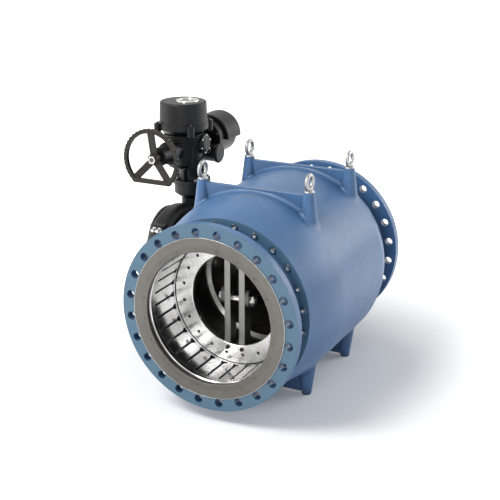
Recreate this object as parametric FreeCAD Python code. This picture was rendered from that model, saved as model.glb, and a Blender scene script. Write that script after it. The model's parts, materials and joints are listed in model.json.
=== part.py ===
"""Flanged piston control valve with worm gearbox and electric actuator.

Origin: centre of the drilled face of the outlet flange; the raised face stands out towards -Y.
+Y runs along the pipe from outlet to inlet, +Z is up, and the drive stands on the -X side.
The piston is drawn fully open.
"""
import FreeCAD, Part
import math
import os

V = FreeCAD.Vector
X = V(1, 0, 0)
Y = V(0, 1, 0)
Z = V(0, 0, 1)
O = V(0, 0, 0)

# Clearances between neighbouring pieces
seat_gap = 0.2
running_gap = 0.06
sliding_gap = 0.3

# Pipe flanges, DN 800 PN 25
face_to_face = 1600.0
pipe_bore = 800.0
neck_wall = 55.0
flange_thickness = 51.0
flange_bolt_offset = 40.0
flange_rim_offset = 47.5
flange_bolt_count = 24
flange_hole_diameter = 49.0
raised_face_inset = 28.0
raised_face_height = 4.0
inlet_neck_length = 71.0

# Joint between the casing and the outlet section
joint_y = 250.0
joint_screw_offset = 31.0
joint_ring_margin = 34.0
joint_ring_thickness = 45.0
joint_step = 11.0
joint_screw_count = 24
joint_screw_diameter = 24.0
joint_head_proud = 8.0
joint_grip = 38.0

# Casing barrel
barrel_flare = 49.0
barrel_wall = 35.0
front_taper_length = 290.0
rear_taper_length = 275.0
mouth_margin = 8.0

# Outlet bore, cage and seat
bore_step = 10.0
clamp_ring_overlap = 6.0
clamp_ring_width = 36.0
clamp_ring_thickness = 26.0
clamp_screw_count = 20
clamp_screw_diameter = 8.0
clamp_screw_grip = 14.0
seat_ring_width = 48.0
seat_ring_length = 56.0
seat_groove_depth = 6.0
seat_groove_width = 26.0
cage_wall = 22.0
cage_length = 267.0
cage_flange_thickness = 20.0
chamber_gap = 20.0
slot_count = 32
slot_phase = 2.8
slot_width = 14.0
slot_front_margin = 14.0
slot_rear_margin = 37.0
slot_head_width = 32.0
slot_head_length = 22.0
slot_notch_width = 22.0

# Inner housing that carries the piston
housing_clearance = 1.5
housing_wall = 36.0
housing_setback = 75.0
nose_length = 280.0
nose_cap_radius = 180.0
nose_cap_rim = 28.0
nose_hole_radius = 148.0
nose_screw_inset = 16.0
nose_screw_count = 8
rib_thickness = 40.0
rib_front_margin = 85.0
rib_rear_margin = 120.0
rail_count = 4
rail_width = 60.0
rail_depth = 8.0
rail_front_margin = 17.0
rail_overrun = 38.0

# Lifting posts, feet and saddles
post_x = 340.0
post_setback = 43.0
post_rise = 40.0
post_top_radius = 31.0
post_root_radius = 60.0
post_length = 220.0
web_thickness = 32.0
web_drop = 20.0
foot_x = 346.0
foot_drop = 44.0
foot_radius = 28.0
foot_length = 224.0
foot_web_rise = 16.0
eyebolt_outer_radius = 54.0
eyebolt_eye_radius = 30.0
eyebolt_collar_radius = 32.0
eyebolt_collar_top_radius = 20.0
eyebolt_collar_height = 16.0
eyebolt_shank_radius = 15.0
eyebolt_shank_length = 50.0

# Piston and its slider crank
stroke = 242.0
crank_swing = 60.0
shaft_setback = 306.0
piston_inset = 23.0
piston_shaft_gap = 107.0
piston_wall = 14.0
piston_rear_lip = 16.0
piston_rear_lip_length = 18.0
piston_web_thickness = 25.0
front_ring_thickness = 18.0
front_ring_lip = 10.0
front_ring_inset = 1.7
seal_depth = 21.7
ring_bolt_inset = 34.0
piston_mouth_inset = 59.0
ring_bolt_count = 20
ring_bolt_diameter = 12.0
bar_gap = 56.0
bar_width = 36.0
bar_depth = 78.0
bar_tongue_length = 45.0
bar_bolt_offset = 22.0
bar_bolt_diameter = 16.0
bar_bolt_length = 58
gudgeon_diameter = 42.0
gudgeon_offset = 44.0
gudgeon_nut_width = 60.0
gudgeon_nut_height = 20.0
rod_thickness = 24.0
rod_big_end_radius = 66.0
rod_small_end_radius = 44.0
rod_shank_height = 62.0
rod_play = 3.0
rod_tie_position = 0.32
rod_tie_radius = 16.0
rod_tie_stub_radius = 10.0
crank_pin_diameter = 80.0
crank_bush_wall = 10.0
crank_arm_width = 116.0
crank_hub_wall = 52.0
crank_boss_wall = 32.0
pin_disc_margin = 12.0
pin_disc_thickness = 10.0
shaft_diameter = 120.0
bush_wall = 15.0
bush_length = 110.0
bush_setback = 4.0
shaft_boss_wall = 33.0
key_width = 32.0
key_height = 18.0
key_length = 100.0
wheel_key_width = 28.0
wheel_key_height = 16.0
wheel_key_length = 60.0

# Drive pad and seals
pad_standoff = 30.0
pad_radius = 280.0
seal_wall = 28.0
seal_chamber_depth = 44.0
gland_margin = 40.0
gland_thickness = 18.0
gland_screw_inset = 18.0
gland_screw_count = 6
small_screw_diameter = 12.0

# Worm gearbox
gear_flange_thickness = 20.0
gear_flange_step = 32.0
gear_case_margin = 48.0
gear_case_shoulder = 14.0
gear_case_depth = 152.0
gear_cover_inset = 30.0
gear_cover_thickness = 26.0
gear_dome_radius = 216.0
gear_dome_depth = 34.0
gear_dome_y = -9.0
gear_dome_z = 96.0
gear_cover_screw_inset = 16.0
gear_cover_screw_count = 10
gear_stud_inset = 38.5
gear_stud_count = 12
gear_stud_diameter = 36.0
gear_stud_reach = 38.0
wheel_radius = 136.0
wheel_width = 84.0
wheel_room = 26.0
wheel_web_step = 24.0
worm_setback = 80.0
worm_radius = 39.7
worm_length = 150.0
worm_shaft_radius = 26.0
worm_shaft_gap = 4.0
worm_bearing_height = 26.0
worm_bearing_wall = 19.7
worm_tower_rise = 15.0
drive_sleeve_radius = 44.0
drive_collar_radius = 58.0
stop_screw_setback = 66.0
stop_screw_inset_y = 79.0
stop_screw_inset_z = 90.0
stop_screw_pitch = 34.0
stop_screw_diameter = 20.0
stop_boss_half = 24.0
pointer_radius = 54.0
pointer_hub_radius = 34.0
pointer_stem_radius = 20.0

# Adapter under the actuator
adapter_neck_radius = 68.0
adapter_height = 100.0
adapter_neck_height = 35.0
adapter_floor_height = 18.0
adapter_bell_radius = 112.0
adapter_rim = 6.0
adapter_rim_height = 8.0
adapter_cavity_radius = 70.0
adapter_screw_radius = 49.0

# Electric actuator
base_flange_radius = 120.0
base_flange_thickness = 25.0
base_bolt_inset = 20.0
base_bolt_count = 4
hex_bolt_diameter = 16.0
hex_bolt_grip = 50.0
neck_tube_radius = 78.0
column_setback = 4.0
column_radius = 118.0
column_rise = 97.0
column_height = 275.0
cover_radius = 150.0
cover_height = 145.0
collar_margin = 8.0
collar_thickness = 26.0
collar_cone_height = 34.0
lug_offset = 20.0
lug_radius = 22.0
lug_height = 56.0
drive_offset_x = 56.0
drive_rise = 122.0
handwheel_tube_radius = 58.0
handwheel_tube_length = 324.0
motor_neck_radius = 76.0
motor_neck_length = 136.0
motor_throat_radius = 62.0
motor_reach = 271.0
motor_flange_radius = 128.0
motor_flange_thickness = 24.0
motor_radius = 124.0
motor_length = 250.0
cowl_radius = 150.0
cowl_wall = 8.0
cowl_setback = 52.0
window_offset_x = 24.0
window_offset_y = 13.0
window_radius = 52.0
window_thickness = 12.0
bezel_radius = 74.0
terminal_setback = 55.0
terminal_drop = 74.0
terminal_radius = 58.0
terminal_reach = 128.0
terminal_cover_thickness = 20.0
entry_thread_radius = 14.0
entry_boss_half = 22.0
entry_offsets = [(46.0, -67.0), (94.0, -44.0)]
side_cover_offset_y = 36.0
side_cover_rise = 26.0
side_cover_radius = 54.0
side_cover_reach = 128.0
side_cover_thickness = 20.0

# Handwheel
wheel_outer_radius = 195.0
wheel_rim_width = 28.0
wheel_rim_depth = 24.0
wheel_chord_drop = 150.0
wheel_standoff = 87.0
wheel_dish = 34.0
wheel_hub_radius = 34.0
wheel_hub_depth = 46.0
wheel_hub_lead = 10.0
wheel_spoke_width = 44.0
wheel_spoke_depth = 14.0
grip_count = 30
grip_radius = 14.0
grip_depth = 6.0
handwheel_shaft_radius = 15.0
handwheel_bush_wall = 5.0
handwheel_bush_length = 60.0
handwheel_nut_height = 11.0

# Radii worked out from the sizes above
neck_radius = pipe_bore / 2 + neck_wall
flange_bolt_radius = neck_radius + flange_bolt_offset
flange_radius = flange_bolt_radius + flange_rim_offset
raised_face_radius = flange_bolt_radius - raised_face_inset
joint_screw_radius = neck_radius + joint_screw_offset
joint_ring_radius = joint_screw_radius + joint_ring_margin
joint_radius = joint_ring_radius + joint_step
barrel_radius = joint_radius + barrel_flare
barrel_inner_radius = barrel_radius - barrel_wall
cage_bore_radius = pipe_bore / 2 - bore_step
cage_flange_radius = cage_bore_radius + seat_ring_width
chamber_radius = cage_bore_radius + cage_wall + chamber_gap
mouth_radius = chamber_radius + mouth_margin
clamp_ring_inner_radius = cage_bore_radius - clamp_ring_overlap
clamp_ring_outer_radius = clamp_ring_inner_radius + clamp_ring_width
clamp_screw_radius = (clamp_ring_outer_radius + cage_bore_radius) / 2
seat_groove_radius = cage_bore_radius + seat_groove_depth
housing_bore_radius = cage_bore_radius + housing_clearance
housing_radius = housing_bore_radius + housing_wall
piston_radius = cage_bore_radius - sliding_gap
piston_bore_radius = piston_radius - piston_wall
front_ring_radius = piston_radius - front_ring_inset
seal_inner_radius = piston_radius - seal_depth
ring_bolt_radius = seal_inner_radius - ring_bolt_inset
piston_mouth_radius = ring_bolt_radius - piston_mouth_inset
bar_tongue_reach = piston_mouth_radius + bar_tongue_length
bar_bolt_z = piston_mouth_radius + bar_bolt_offset
shaft_radius = shaft_diameter / 2
stub_radius = shaft_radius - 10
bush_outer_radius = shaft_radius + bush_wall
shaft_boss_radius = bush_outer_radius + shaft_boss_wall
seal_chamber_radius = shaft_radius + seal_wall
gland_radius = seal_chamber_radius + gland_margin
crank_hub_radius = shaft_radius + crank_hub_wall
crank_boss_radius = crank_pin_diameter / 2 + crank_boss_wall
pin_disc_radius = crank_pin_diameter / 2 + pin_disc_margin
gear_case_radius = pad_radius + gear_case_margin
gear_cover_radius = gear_case_radius - gear_cover_inset
gear_cover_screw_radius = gear_cover_radius - gear_cover_screw_inset
gear_stud_radius = pad_radius - gear_stud_inset
bearing_radius = worm_shaft_radius + worm_bearing_wall
collar_radius = cover_radius + collar_margin
lug_circle_radius = cover_radius + lug_offset
cover_screw_diameter = 10
cover_screw_length = 40
base_bolt_radius = base_flange_radius - base_bolt_inset

# Stations along the pipe, from outlet to inlet
outlet_face_y = -raised_face_height
clamp_ring_back_y = outlet_face_y + clamp_ring_thickness
cage_start_y = clamp_ring_back_y + seat_ring_length
cage_end_y = cage_start_y + cage_length
piston_front_y = cage_end_y - piston_inset
web_front_y = piston_front_y + front_ring_thickness
gudgeon_y = piston_front_y + gudgeon_offset
barrel_front_y = joint_y + front_taper_length
inlet_face_y = outlet_face_y + face_to_face
inlet_drilled_y = inlet_face_y - raised_face_height
inlet_back_y = inlet_drilled_y - flange_thickness
rear_neck_y = inlet_back_y - inlet_neck_length
barrel_rear_y = rear_neck_y - rear_taper_length
housing_end_y = barrel_rear_y - housing_setback
nose_rim_y = housing_end_y + nose_length * math.sqrt(1 - (nose_cap_radius / housing_radius) ** 2)
nose_cap_seat_y = nose_rim_y - nose_cap_rim
shaft_y = barrel_rear_y - shaft_setback
piston_rear_y = shaft_y - shaft_radius - piston_shaft_gap
post_front_y = barrel_front_y + post_setback
post_rear_y = barrel_rear_y
worm_y = shaft_y + wheel_radius + worm_radius + sliding_gap
column_y = worm_y + column_setback
handwheel_tube_front_y = column_y - handwheel_tube_length
wheel_rim_y = handwheel_tube_front_y - wheel_standoff
wheel_hub_y = wheel_rim_y + wheel_dish - wheel_hub_lead
motor_neck_step_y = column_y + motor_neck_length
motor_flange_y = column_y + motor_reach
motor_end_y = motor_flange_y + motor_length
cowl_front_y = motor_flange_y + cowl_setback
terminal_y = motor_flange_y - terminal_setback
side_cover_y = column_y + side_cover_offset_y
stop_screw_y = shaft_y - gear_case_radius + stop_screw_inset_y

# Heights
post_top_z = barrel_radius + post_rise
web_top_z = post_top_z - web_drop
foot_bottom_z = -barrel_radius - foot_drop
foot_web_z = foot_bottom_z + foot_web_rise
stop_screw_z = gear_case_radius - stop_screw_inset_z
worm_tower_top_z = gear_case_radius + worm_tower_rise
adapter_bell_z = worm_tower_top_z + adapter_neck_height
adapter_floor_z = worm_tower_top_z + adapter_floor_height
adapter_top_z = worm_tower_top_z + adapter_height
base_flange_top_z = adapter_top_z + base_flange_thickness
column_bottom_z = adapter_top_z + column_rise
cover_joint_z = column_bottom_z + column_height
cover_top_z = cover_joint_z + cover_height
drive_axis_z = column_bottom_z + drive_rise
terminal_z = drive_axis_z - terminal_drop
side_cover_z = drive_axis_z + side_cover_rise

# Stations across the pipe
rod_x = bar_gap / 2 + bar_width + sliding_gap
rod_outer_x = rod_x + rod_thickness
bush_x = housing_bore_radius + bush_setback
shaft_right_end = bush_x + bush_length
pad_x = -barrel_radius - pad_standoff
gear_case_end_x = pad_x - gear_case_depth
gear_cover_x = gear_case_end_x - gear_cover_thickness
worm_x = pad_x - worm_setback
stop_screw_x = pad_x - stop_screw_setback
drive_axis_x = worm_x - drive_offset_x
window_x = drive_axis_x + window_offset_x
window_y = column_y + window_offset_y
terminal_end_x = drive_axis_x + terminal_reach
side_cover_x = drive_axis_x + side_cover_reach

# Crank geometry and axes
half_swing = math.radians(crank_swing / 2)
crank_radius = stroke / (2 * math.sin(half_swing))
crank_pin_y = shaft_y + stroke / 2
crank_pin_z = -crank_radius * math.cos(half_swing)
rod_rise = crank_radius - crank_radius * math.cos(half_swing)
hand_axis = V(drive_axis_x, 0, drive_axis_z)
worm_axis = V(worm_x, worm_y, 0)
shaft_axis = V(0, shaft_y, 0)
column_axis = V(drive_axis_x, column_y, 0)
ANGLE_AXIS = V(0, -1, 0)


def section(items, place):
    """Closed face from corner points; a nested list is one smooth run through its points."""
    start = place(*items[0])
    here = start
    edges = []
    for item in items[1:]:
        if isinstance(item, list):
            curve = Part.BSplineCurve()
            curve.interpolate([here] + [place(*point) for point in item])
            edges.append(curve.toShape())
            here = place(*item[-1])
        else:
            there = place(*item)
            edges.append(Part.makeLine(here, there))
            here = there
    edges.append(Part.makeLine(here, start))
    return Part.Face(Part.Wire(edges))


def turned(items, base, axis, radial):
    """Solid of revolution from (radius, height) corners."""
    face = section(items, lambda r, h: base + radial * r + axis * h)
    return face.revolve(base, axis, 360)


def turned_y(items, base=O):
    return turned(items, base, Y, X)


def turned_x(items, base=O):
    return turned(items, base, X, Y)


def turned_z(items, base=O):
    return turned(items, base, Z, X)


def cylinder(radius, start, direction, length):
    return Part.makeCylinder(radius, length, start, direction)


def tube(inner, outer, start, direction, length):
    return cylinder(outer, start, direction, length).cut(cylinder(inner, start, direction, length))


def box(low, high):
    size = high - low
    return Part.makeBox(size.x, size.y, size.z, low)


def around(shape, count, first=0.0, base=O, axis=ANGLE_AXIS):
    """Copies of a shape turned evenly about an axis, starting at an angle in degrees."""
    copies = []
    for k in range(count):
        copy = shape.copy()
        copy.rotate(base, axis, first + 360.0 / count * k)
        copies.append(copy)
    return copies


def mirrored(shape, normal=X):
    return shape.mirror(O, normal)


def fused(shapes):
    body = shapes[0].fuse(shapes[1:]) if len(shapes) > 1 else shapes[0]
    return body.removeSplitter()


def group(shapes):
    return Part.makeCompound(shapes)


def hex_prism(width, start, direction, length):
    """Hexagonal bar of a given width across flats."""
    side = direction.cross(Z if abs(direction.z) < 0.5 else X)
    side.normalize()
    across = direction.cross(side)
    corner = width / math.sqrt(3)
    points = []
    for k in range(7):
        angle = math.radians(60 * k)
        points.append(start + side * (corner * math.cos(angle)) + across * (corner * math.sin(angle)))
    return Part.Face(Part.makePolygon(points)).extrude(direction * length)


def hex_bolt(diameter, seat, direction, grip):
    """Bolt whose head stands off the seat against direction; the shank runs along it."""
    head_height = 0.65 * diameter
    head = hex_prism(1.55 * diameter, seat - direction * head_height, direction, head_height)
    return head.fuse(cylinder(diameter / 2, seat, direction, grip))


def cap_screw(diameter, seat, direction, grip):
    """Socket-head screw whose head sits on the seat, with the shank along direction."""
    head = cylinder(0.75 * diameter, seat - direction * diameter, direction, diameter)
    socket = hex_prism(0.8 * diameter, seat - direction * diameter, direction, 0.55 * diameter)
    return head.cut(socket).fuse(cylinder(diameter / 2, seat, direction, grip))


def hull_plate(circles, x_low, x_high):
    """Plate across X whose outline wraps two circles, each given as (y, z, radius)."""
    (y1, z1, r1), (y2, z2, r2) = circles
    length = math.hypot(y2 - y1, z2 - z1)
    heading = math.atan2(z2 - z1, y2 - y1)
    lean = math.acos((r1 - r2) / length)
    points = []
    for y, z, r, turn in ((y1, z1, r1, lean), (y2, z2, r2, lean), (y2, z2, r2, -lean), (y1, z1, r1, -lean)):
        points.append(V(x_low, y + r * math.cos(heading + turn), z + r * math.sin(heading + turn)))
    thickness = x_high - x_low
    flank = Part.Face(Part.makePolygon(points + [points[0]])).extrude(X * thickness)
    ends = [cylinder(r, V(x_low, y, z), X, thickness) for y, z, r in circles]
    return fused([flank] + ends)


def quarter_ellipse(radius, length, start_y, steps, low=0.0):
    """Points from the rim of a dome towards its tip, ending where its radius is low."""
    last = math.acos(low / radius)
    points = []
    for k in range(1, steps + 1):
        angle = last * k / steps
        points.append((radius * math.cos(angle), start_y + length * math.sin(angle)))
    return points


# Casing

def flange_holes(y_low, y_high):
    hole = cylinder(flange_hole_diameter / 2, V(flange_bolt_radius, y_low, 0), Y, y_high - y_low)
    return around(hole, flange_bolt_count, 180.0 / flange_bolt_count)


def along(low, high, share):
    """Value part of the way from one end of a taper to the other."""
    return low + (high - low) * share


def casing_outside(gap=0.0):
    """Barrel with its two tapers as a full solid; a gap makes it that much fatter."""
    front = joint_radius + gap
    middle = barrel_radius + gap
    rear = neck_radius + gap
    return turned_y([
        (0, joint_y),
        (front, joint_y),
        [(along(front, middle, 0.41), along(joint_y, barrel_front_y, 0.28)),
         (along(front, middle, 0.84), along(joint_y, barrel_front_y, 0.69)),
         (middle, barrel_front_y)],
        (middle, barrel_rear_y),
        [(along(middle, rear, 0.25), along(barrel_rear_y, rear_neck_y, 0.41)),
         (along(middle, rear, 0.72), along(barrel_rear_y, rear_neck_y, 0.82)),
         (rear, rear_neck_y)],
        (0, rear_neck_y),
    ])


def casing_inside(gap=0.0):
    """Flow space inside the barrel; a gap makes it that much slimmer."""
    inner = barrel_inner_radius - gap
    mouth = mouth_radius - gap
    bore = pipe_bore / 2 - gap
    return turned_y([
        (0, joint_y),
        (mouth, joint_y),
        [(along(mouth, inner, 0.3), along(joint_y, barrel_front_y, 0.25)),
         (along(mouth, inner, 0.86), along(joint_y, barrel_front_y, 0.66)),
         (inner, barrel_front_y)],
        (inner, barrel_rear_y),
        [(along(inner, bore, 0.28), along(barrel_rear_y, rear_neck_y, 0.42)),
         (along(inner, bore, 0.86), along(barrel_rear_y, rear_neck_y, 0.86)),
         (bore, rear_neck_y)],
        (0, rear_neck_y),
    ])


def make_inlet_flange():
    flange = turned_y([
        (pipe_bore / 2, rear_neck_y),
        (neck_radius, rear_neck_y),
        (neck_radius, inlet_back_y),
        (flange_radius, inlet_back_y),
        (flange_radius, inlet_drilled_y),
        (raised_face_radius, inlet_drilled_y),
        (raised_face_radius, inlet_face_y),
        (pipe_bore / 2, inlet_face_y),
    ])
    return flange.cut(flange_holes(inlet_back_y, inlet_drilled_y))


def housing_outside(gap=0.0):
    """Inner housing as a full solid; a gap makes it that much fatter."""
    radius = housing_radius + gap
    dome = quarter_ellipse(radius, nose_length + gap, housing_end_y, 6, nose_cap_radius)
    return turned_y([
        (0, cage_end_y),
        (radius, cage_end_y),
        (radius, housing_end_y),
        dome,
        (0, dome[-1][1]),
    ])


def housing_inside():
    depth = nose_length - housing_wall
    dome = quarter_ellipse(housing_bore_radius, depth, housing_end_y, 6, nose_hole_radius)
    return turned_y([
        (0, cage_end_y),
        (housing_bore_radius, cage_end_y),
        (housing_bore_radius, housing_end_y),
        dome,
        (0, dome[-1][1]),
    ])


def post(y, side):
    base = V(side * post_x, y, post_top_z - post_length)
    return Part.makeCone(post_root_radius, post_top_radius, post_length, base, Z)


def foot(y, side):
    base = V(side * foot_x, y, foot_bottom_z)
    return Part.makeCone(foot_radius, post_root_radius, foot_length, base, Z)


def saddles(y):
    """Pair of posts with their cross web, and the pair of feet with theirs."""
    half = web_thickness / 2
    top = box(V(-post_x, y - half, post_top_z - post_length), V(post_x, y + half, web_top_z))
    bottom = box(V(-foot_x, y - half, foot_web_z), V(foot_x, y + half, foot_bottom_z + foot_length))
    return [fused([top, post(y, -1), post(y, 1)]), fused([bottom, foot(y, -1), foot(y, 1)])]


def make_support_saddles():
    barrel = casing_outside(seat_gap)
    pieces = saddles(post_front_y) + saddles(post_rear_y)
    return group([piece.cut([barrel] + eyebolt_holes()) for piece in pieces])


def shaft_passage():
    """Bores through the casing for the shaft, its bushes, the seals and the gland."""
    bush_radius = bush_outer_radius + seat_gap
    right = cylinder(bush_radius, shaft_axis, X, shaft_right_end + sliding_gap)
    left = cylinder(bush_radius, shaft_axis, -X, -pad_x)
    seals = cylinder(seal_chamber_radius, V(pad_x + seal_chamber_depth + gland_thickness, shaft_y, 0),
                     -X, seal_chamber_depth + gland_thickness)
    gland = cylinder(gland_radius + seat_gap, V(pad_x + gland_thickness, shaft_y, 0), -X, gland_thickness)
    return [right, left, seals, gland]


def stud_places(radius, count, first=0.0):
    places = []
    for k in range(count):
        angle = math.radians(first + 360.0 / count * k)
        places.append((shaft_y + radius * math.cos(angle), radius * math.sin(angle)))
    return places


def stud_holes(depth, direction, spare=0.0):
    places = stud_places(gear_stud_radius, gear_stud_count, 180.0 / gear_stud_count)
    return [cylinder(gear_stud_diameter / 2 - spare, V(pad_x, y, z), direction, depth) for y, z in places]


def make_body_casing():
    pad_root = -0.8 * barrel_radius
    pad = cylinder(pad_radius, V(pad_root, shaft_y, 0), -X, pad_root - pad_x)
    shell = fused([casing_outside(), pad]).cut(casing_inside())
    shell = shell.cut(shaft_passage() + joint_screw_holes(joint_y, joint_grip + seat_gap))
    return shell.cut(gland_screw_holes() + stud_holes(gear_stud_reach + 2, X))


def make_inner_housing():
    body = housing_outside().cut(housing_inside())
    nose_seat = cylinder(nose_cap_radius + seat_gap, V(0, nose_cap_seat_y, 0), Y, nose_length)
    return body.cut(shaft_passage() + [nose_seat, rail_shape(seat_gap)] + nose_screw_holes())


def make_housing_ribs():
    """Four ribs and the two shaft bosses between the barrel and the inner housing."""
    half = rib_thickness / 2
    front = cage_end_y + rib_front_margin
    rear = housing_end_y + rib_rear_margin
    upright = box(V(-half, front, 0), V(half, rear, barrel_radius))
    level = box(V(0, front, -half), V(barrel_radius, rear, half))
    boss = cylinder(shaft_boss_radius, shaft_axis, X, barrel_radius)
    arms = [upright, mirrored(upright, Z)] + [fused([level, boss]), mirrored(fused([level, boss]))]
    space = casing_inside(seat_gap).cut(housing_outside(seat_gap))
    return group([arm.common(space).cut(shaft_passage()) for arm in arms])


def joint_screw_holes(start_y, length):
    hole = cylinder(joint_screw_diameter / 2, V(joint_screw_radius, start_y, 0), Y, length)
    return around(hole, joint_screw_count, 180.0 / joint_screw_count)


def make_outlet_section():
    ring_front_y = joint_y - joint_ring_thickness
    ring_seat_y = clamp_ring_back_y + seat_gap
    shoulder_y = cage_start_y + cage_flange_thickness
    body = turned_y([
        (cage_flange_radius + seat_gap, ring_seat_y),
        (raised_face_radius + seat_gap, ring_seat_y),
        (raised_face_radius + seat_gap, 0),
        (flange_radius, 0),
        (flange_radius, flange_thickness),
        (neck_radius + 8, flange_thickness),
        [(neck_radius, flange_thickness + 10), (neck_radius, ring_front_y - 14),
         (neck_radius + 8, ring_front_y)],
        (joint_ring_radius, ring_front_y),
        (joint_radius, joint_y),
        (mouth_radius, joint_y),
        (chamber_radius, ring_front_y - 15),
        (chamber_radius, shoulder_y),
        (cage_flange_radius + seat_gap, shoulder_y),
    ])
    counterbore = cylinder(0.75 * joint_screw_diameter + 1, V(joint_screw_radius, ring_front_y, 0), Y,
                           joint_screw_diameter - joint_head_proud)
    heads = around(counterbore, joint_screw_count, 180.0 / joint_screw_count)
    screws = joint_screw_holes(ring_front_y, joint_ring_thickness)
    return body.cut(flange_holes(0, flange_thickness) + screws + heads)


def make_outlet_cap_screws():
    seat_y = joint_y - joint_ring_thickness + joint_screw_diameter - joint_head_proud
    grip = joint_y + joint_grip - seat_y
    screw = cap_screw(joint_screw_diameter - 2 * seat_gap, V(joint_screw_radius, seat_y, 0), Y, grip)
    return group(around(screw, joint_screw_count, 180.0 / joint_screw_count))


def make_outlet_facing_ring():
    return turned_y([
        (clamp_ring_outer_radius + seat_gap, outlet_face_y),
        (raised_face_radius - 2, outlet_face_y),
        (raised_face_radius, outlet_face_y + 2),
        (raised_face_radius, clamp_ring_back_y),
        (clamp_ring_outer_radius + seat_gap, clamp_ring_back_y),
    ])


def make_clamp_ring():
    ring = turned_y([
        (clamp_ring_inner_radius + 2, outlet_face_y),
        (clamp_ring_outer_radius, outlet_face_y),
        (clamp_ring_outer_radius, clamp_ring_back_y),
        (clamp_ring_inner_radius, clamp_ring_back_y),
        (clamp_ring_inner_radius, outlet_face_y + 2),
    ])
    return ring.cut(clamp_screw_holes(outlet_face_y, clamp_ring_thickness, 0))


def clamp_screw_holes(start_y, length, spare):
    radius = clamp_screw_diameter / 2 - spare
    hole = cylinder(radius, V(clamp_screw_radius, start_y, 0), Y, length)
    return around(hole, clamp_screw_count, 180.0 / clamp_screw_count)


def make_clamp_ring_screws():
    start_y = outlet_face_y + 2
    return group(clamp_screw_holes(start_y, clamp_ring_back_y + clamp_screw_grip - start_y, seat_gap / 2))


def make_seat_ring():
    groove_end_y = clamp_ring_back_y + seat_groove_width
    ring = turned_y([
        (seat_groove_radius, clamp_ring_back_y + seat_gap),
        (cage_flange_radius, clamp_ring_back_y + seat_gap),
        (cage_flange_radius, cage_start_y),
        (cage_bore_radius, cage_start_y),
        (cage_bore_radius, groove_end_y + 3),
        (seat_groove_radius - 3, groove_end_y),
        (seat_groove_radius, groove_end_y),
    ])
    return ring.cut(clamp_screw_holes(clamp_ring_back_y, clamp_screw_grip + 2, 0))


def make_slotted_cage():
    outer = cage_bore_radius + cage_wall
    flange_end = cage_start_y + cage_flange_thickness
    body = turned_y([
        (cage_bore_radius, cage_start_y),
        (cage_flange_radius, cage_start_y),
        (cage_flange_radius, flange_end),
        (outer, flange_end),
        (outer, cage_end_y),
        (cage_bore_radius, cage_end_y),
    ])
    low = cage_bore_radius - 15
    high = cage_flange_radius + 15
    slot_start_y = cage_start_y + slot_front_margin
    slot_end_y = cage_end_y - slot_rear_margin
    head_start = slot_end_y - slot_head_length
    notch_start = head_start - slot_head_length / 2
    cutters = []
    steps = [
        (slot_width, slot_start_y, head_start),
        (slot_notch_width, notch_start, head_start),
        (slot_head_width, head_start, slot_end_y),
    ]
    for width, start, end in steps:
        cutters.append(box(V(low, start, -width / 2), V(high, end, width / 2)))
    slot = fused(cutters)
    return body.cut(around(slot, slot_count, slot_phase))


def rail_shape(gap):
    """Four guide strips as one cutter, or with no gap as the strips themselves."""
    start_y = cage_end_y + rail_front_margin - gap
    end_y = piston_rear_y + rail_overrun + gap
    band = tube(cage_bore_radius, cage_bore_radius + rail_depth + gap, V(0, start_y, 0), Y, end_y - start_y)
    half = rail_width / 2 + gap
    slab = box(V(0, start_y, -half), V(housing_radius, end_y, half))
    return band.common(group(around(slab, rail_count, 180.0 / rail_count)))


def make_guide_rails():
    return rail_shape(0)


def nose_screw_place(height):
    return V(nose_cap_radius - nose_screw_inset, nose_cap_seat_y + height, 0)


def nose_screw_holes():
    hole = cylinder(small_screw_diameter / 2, nose_screw_place(-20), Y, nose_cap_rim + 20)
    return around(hole, nose_screw_count)


def make_nose_cap():
    crown = quarter_ellipse(nose_cap_radius, housing_end_y + nose_length - nose_rim_y, nose_rim_y, 4)
    body = turned_y([
        (0, nose_cap_seat_y),
        (nose_cap_radius, nose_cap_seat_y),
        (nose_cap_radius, nose_rim_y),
        crown,
    ])
    pocket = cylinder(0.75 * small_screw_diameter + 1.5, nose_screw_place(nose_cap_rim / 2), Y, nose_length)
    return body.cut(nose_screw_holes() + around(pocket, nose_screw_count))


def make_m12_cap_screws():
    """Like screws of the nose cap, the seal gland and the actuator adapter."""
    size = small_screw_diameter - 2 * seat_gap
    nose = cap_screw(size, nose_screw_place(nose_cap_rim / 2), -Y, nose_cap_rim / 2 + 18)
    gland = cap_screw(size, gland_screw_place(), X, gland_thickness + 16)
    foot = cap_screw(size, worm_axis + V(adapter_screw_radius, 0, adapter_floor_z), -Z, 44)
    return group(around(nose, nose_screw_count) + around(gland, gland_screw_count, 0, shaft_axis, X)
                 + around(foot, 4, 45.0, worm_axis, Z))


def eyebolt_places():
    return [V(side * post_x, y, post_top_z) for y in (post_front_y, post_rear_y) for side in (-1, 1)]


def eyebolt_holes():
    depth = eyebolt_shank_length + 4
    return [cylinder(eyebolt_shank_radius + seat_gap, place, -Z, depth) for place in eyebolt_places()]


def eyebolt(place):
    ring_radius = (eyebolt_outer_radius + eyebolt_eye_radius) / 2
    wire_radius = (eyebolt_outer_radius - eyebolt_eye_radius) / 2
    ring = Part.makeTorus(ring_radius, wire_radius, place + Z * eyebolt_outer_radius, X)
    collar = Part.makeCone(eyebolt_collar_radius, eyebolt_collar_top_radius, eyebolt_collar_height, place, Z)
    shank = cylinder(eyebolt_shank_radius, place, -Z, eyebolt_shank_length)
    return fused([ring, collar, shank])


def make_lifting_eyebolts():
    return group([eyebolt(place) for place in eyebolt_places()])


def make_shaft_bushes():
    bush = tube(shaft_radius + running_gap, bush_outer_radius, V(bush_x, shaft_y, 0), X, bush_length)
    return group([bush, mirrored(bush)])


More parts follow.
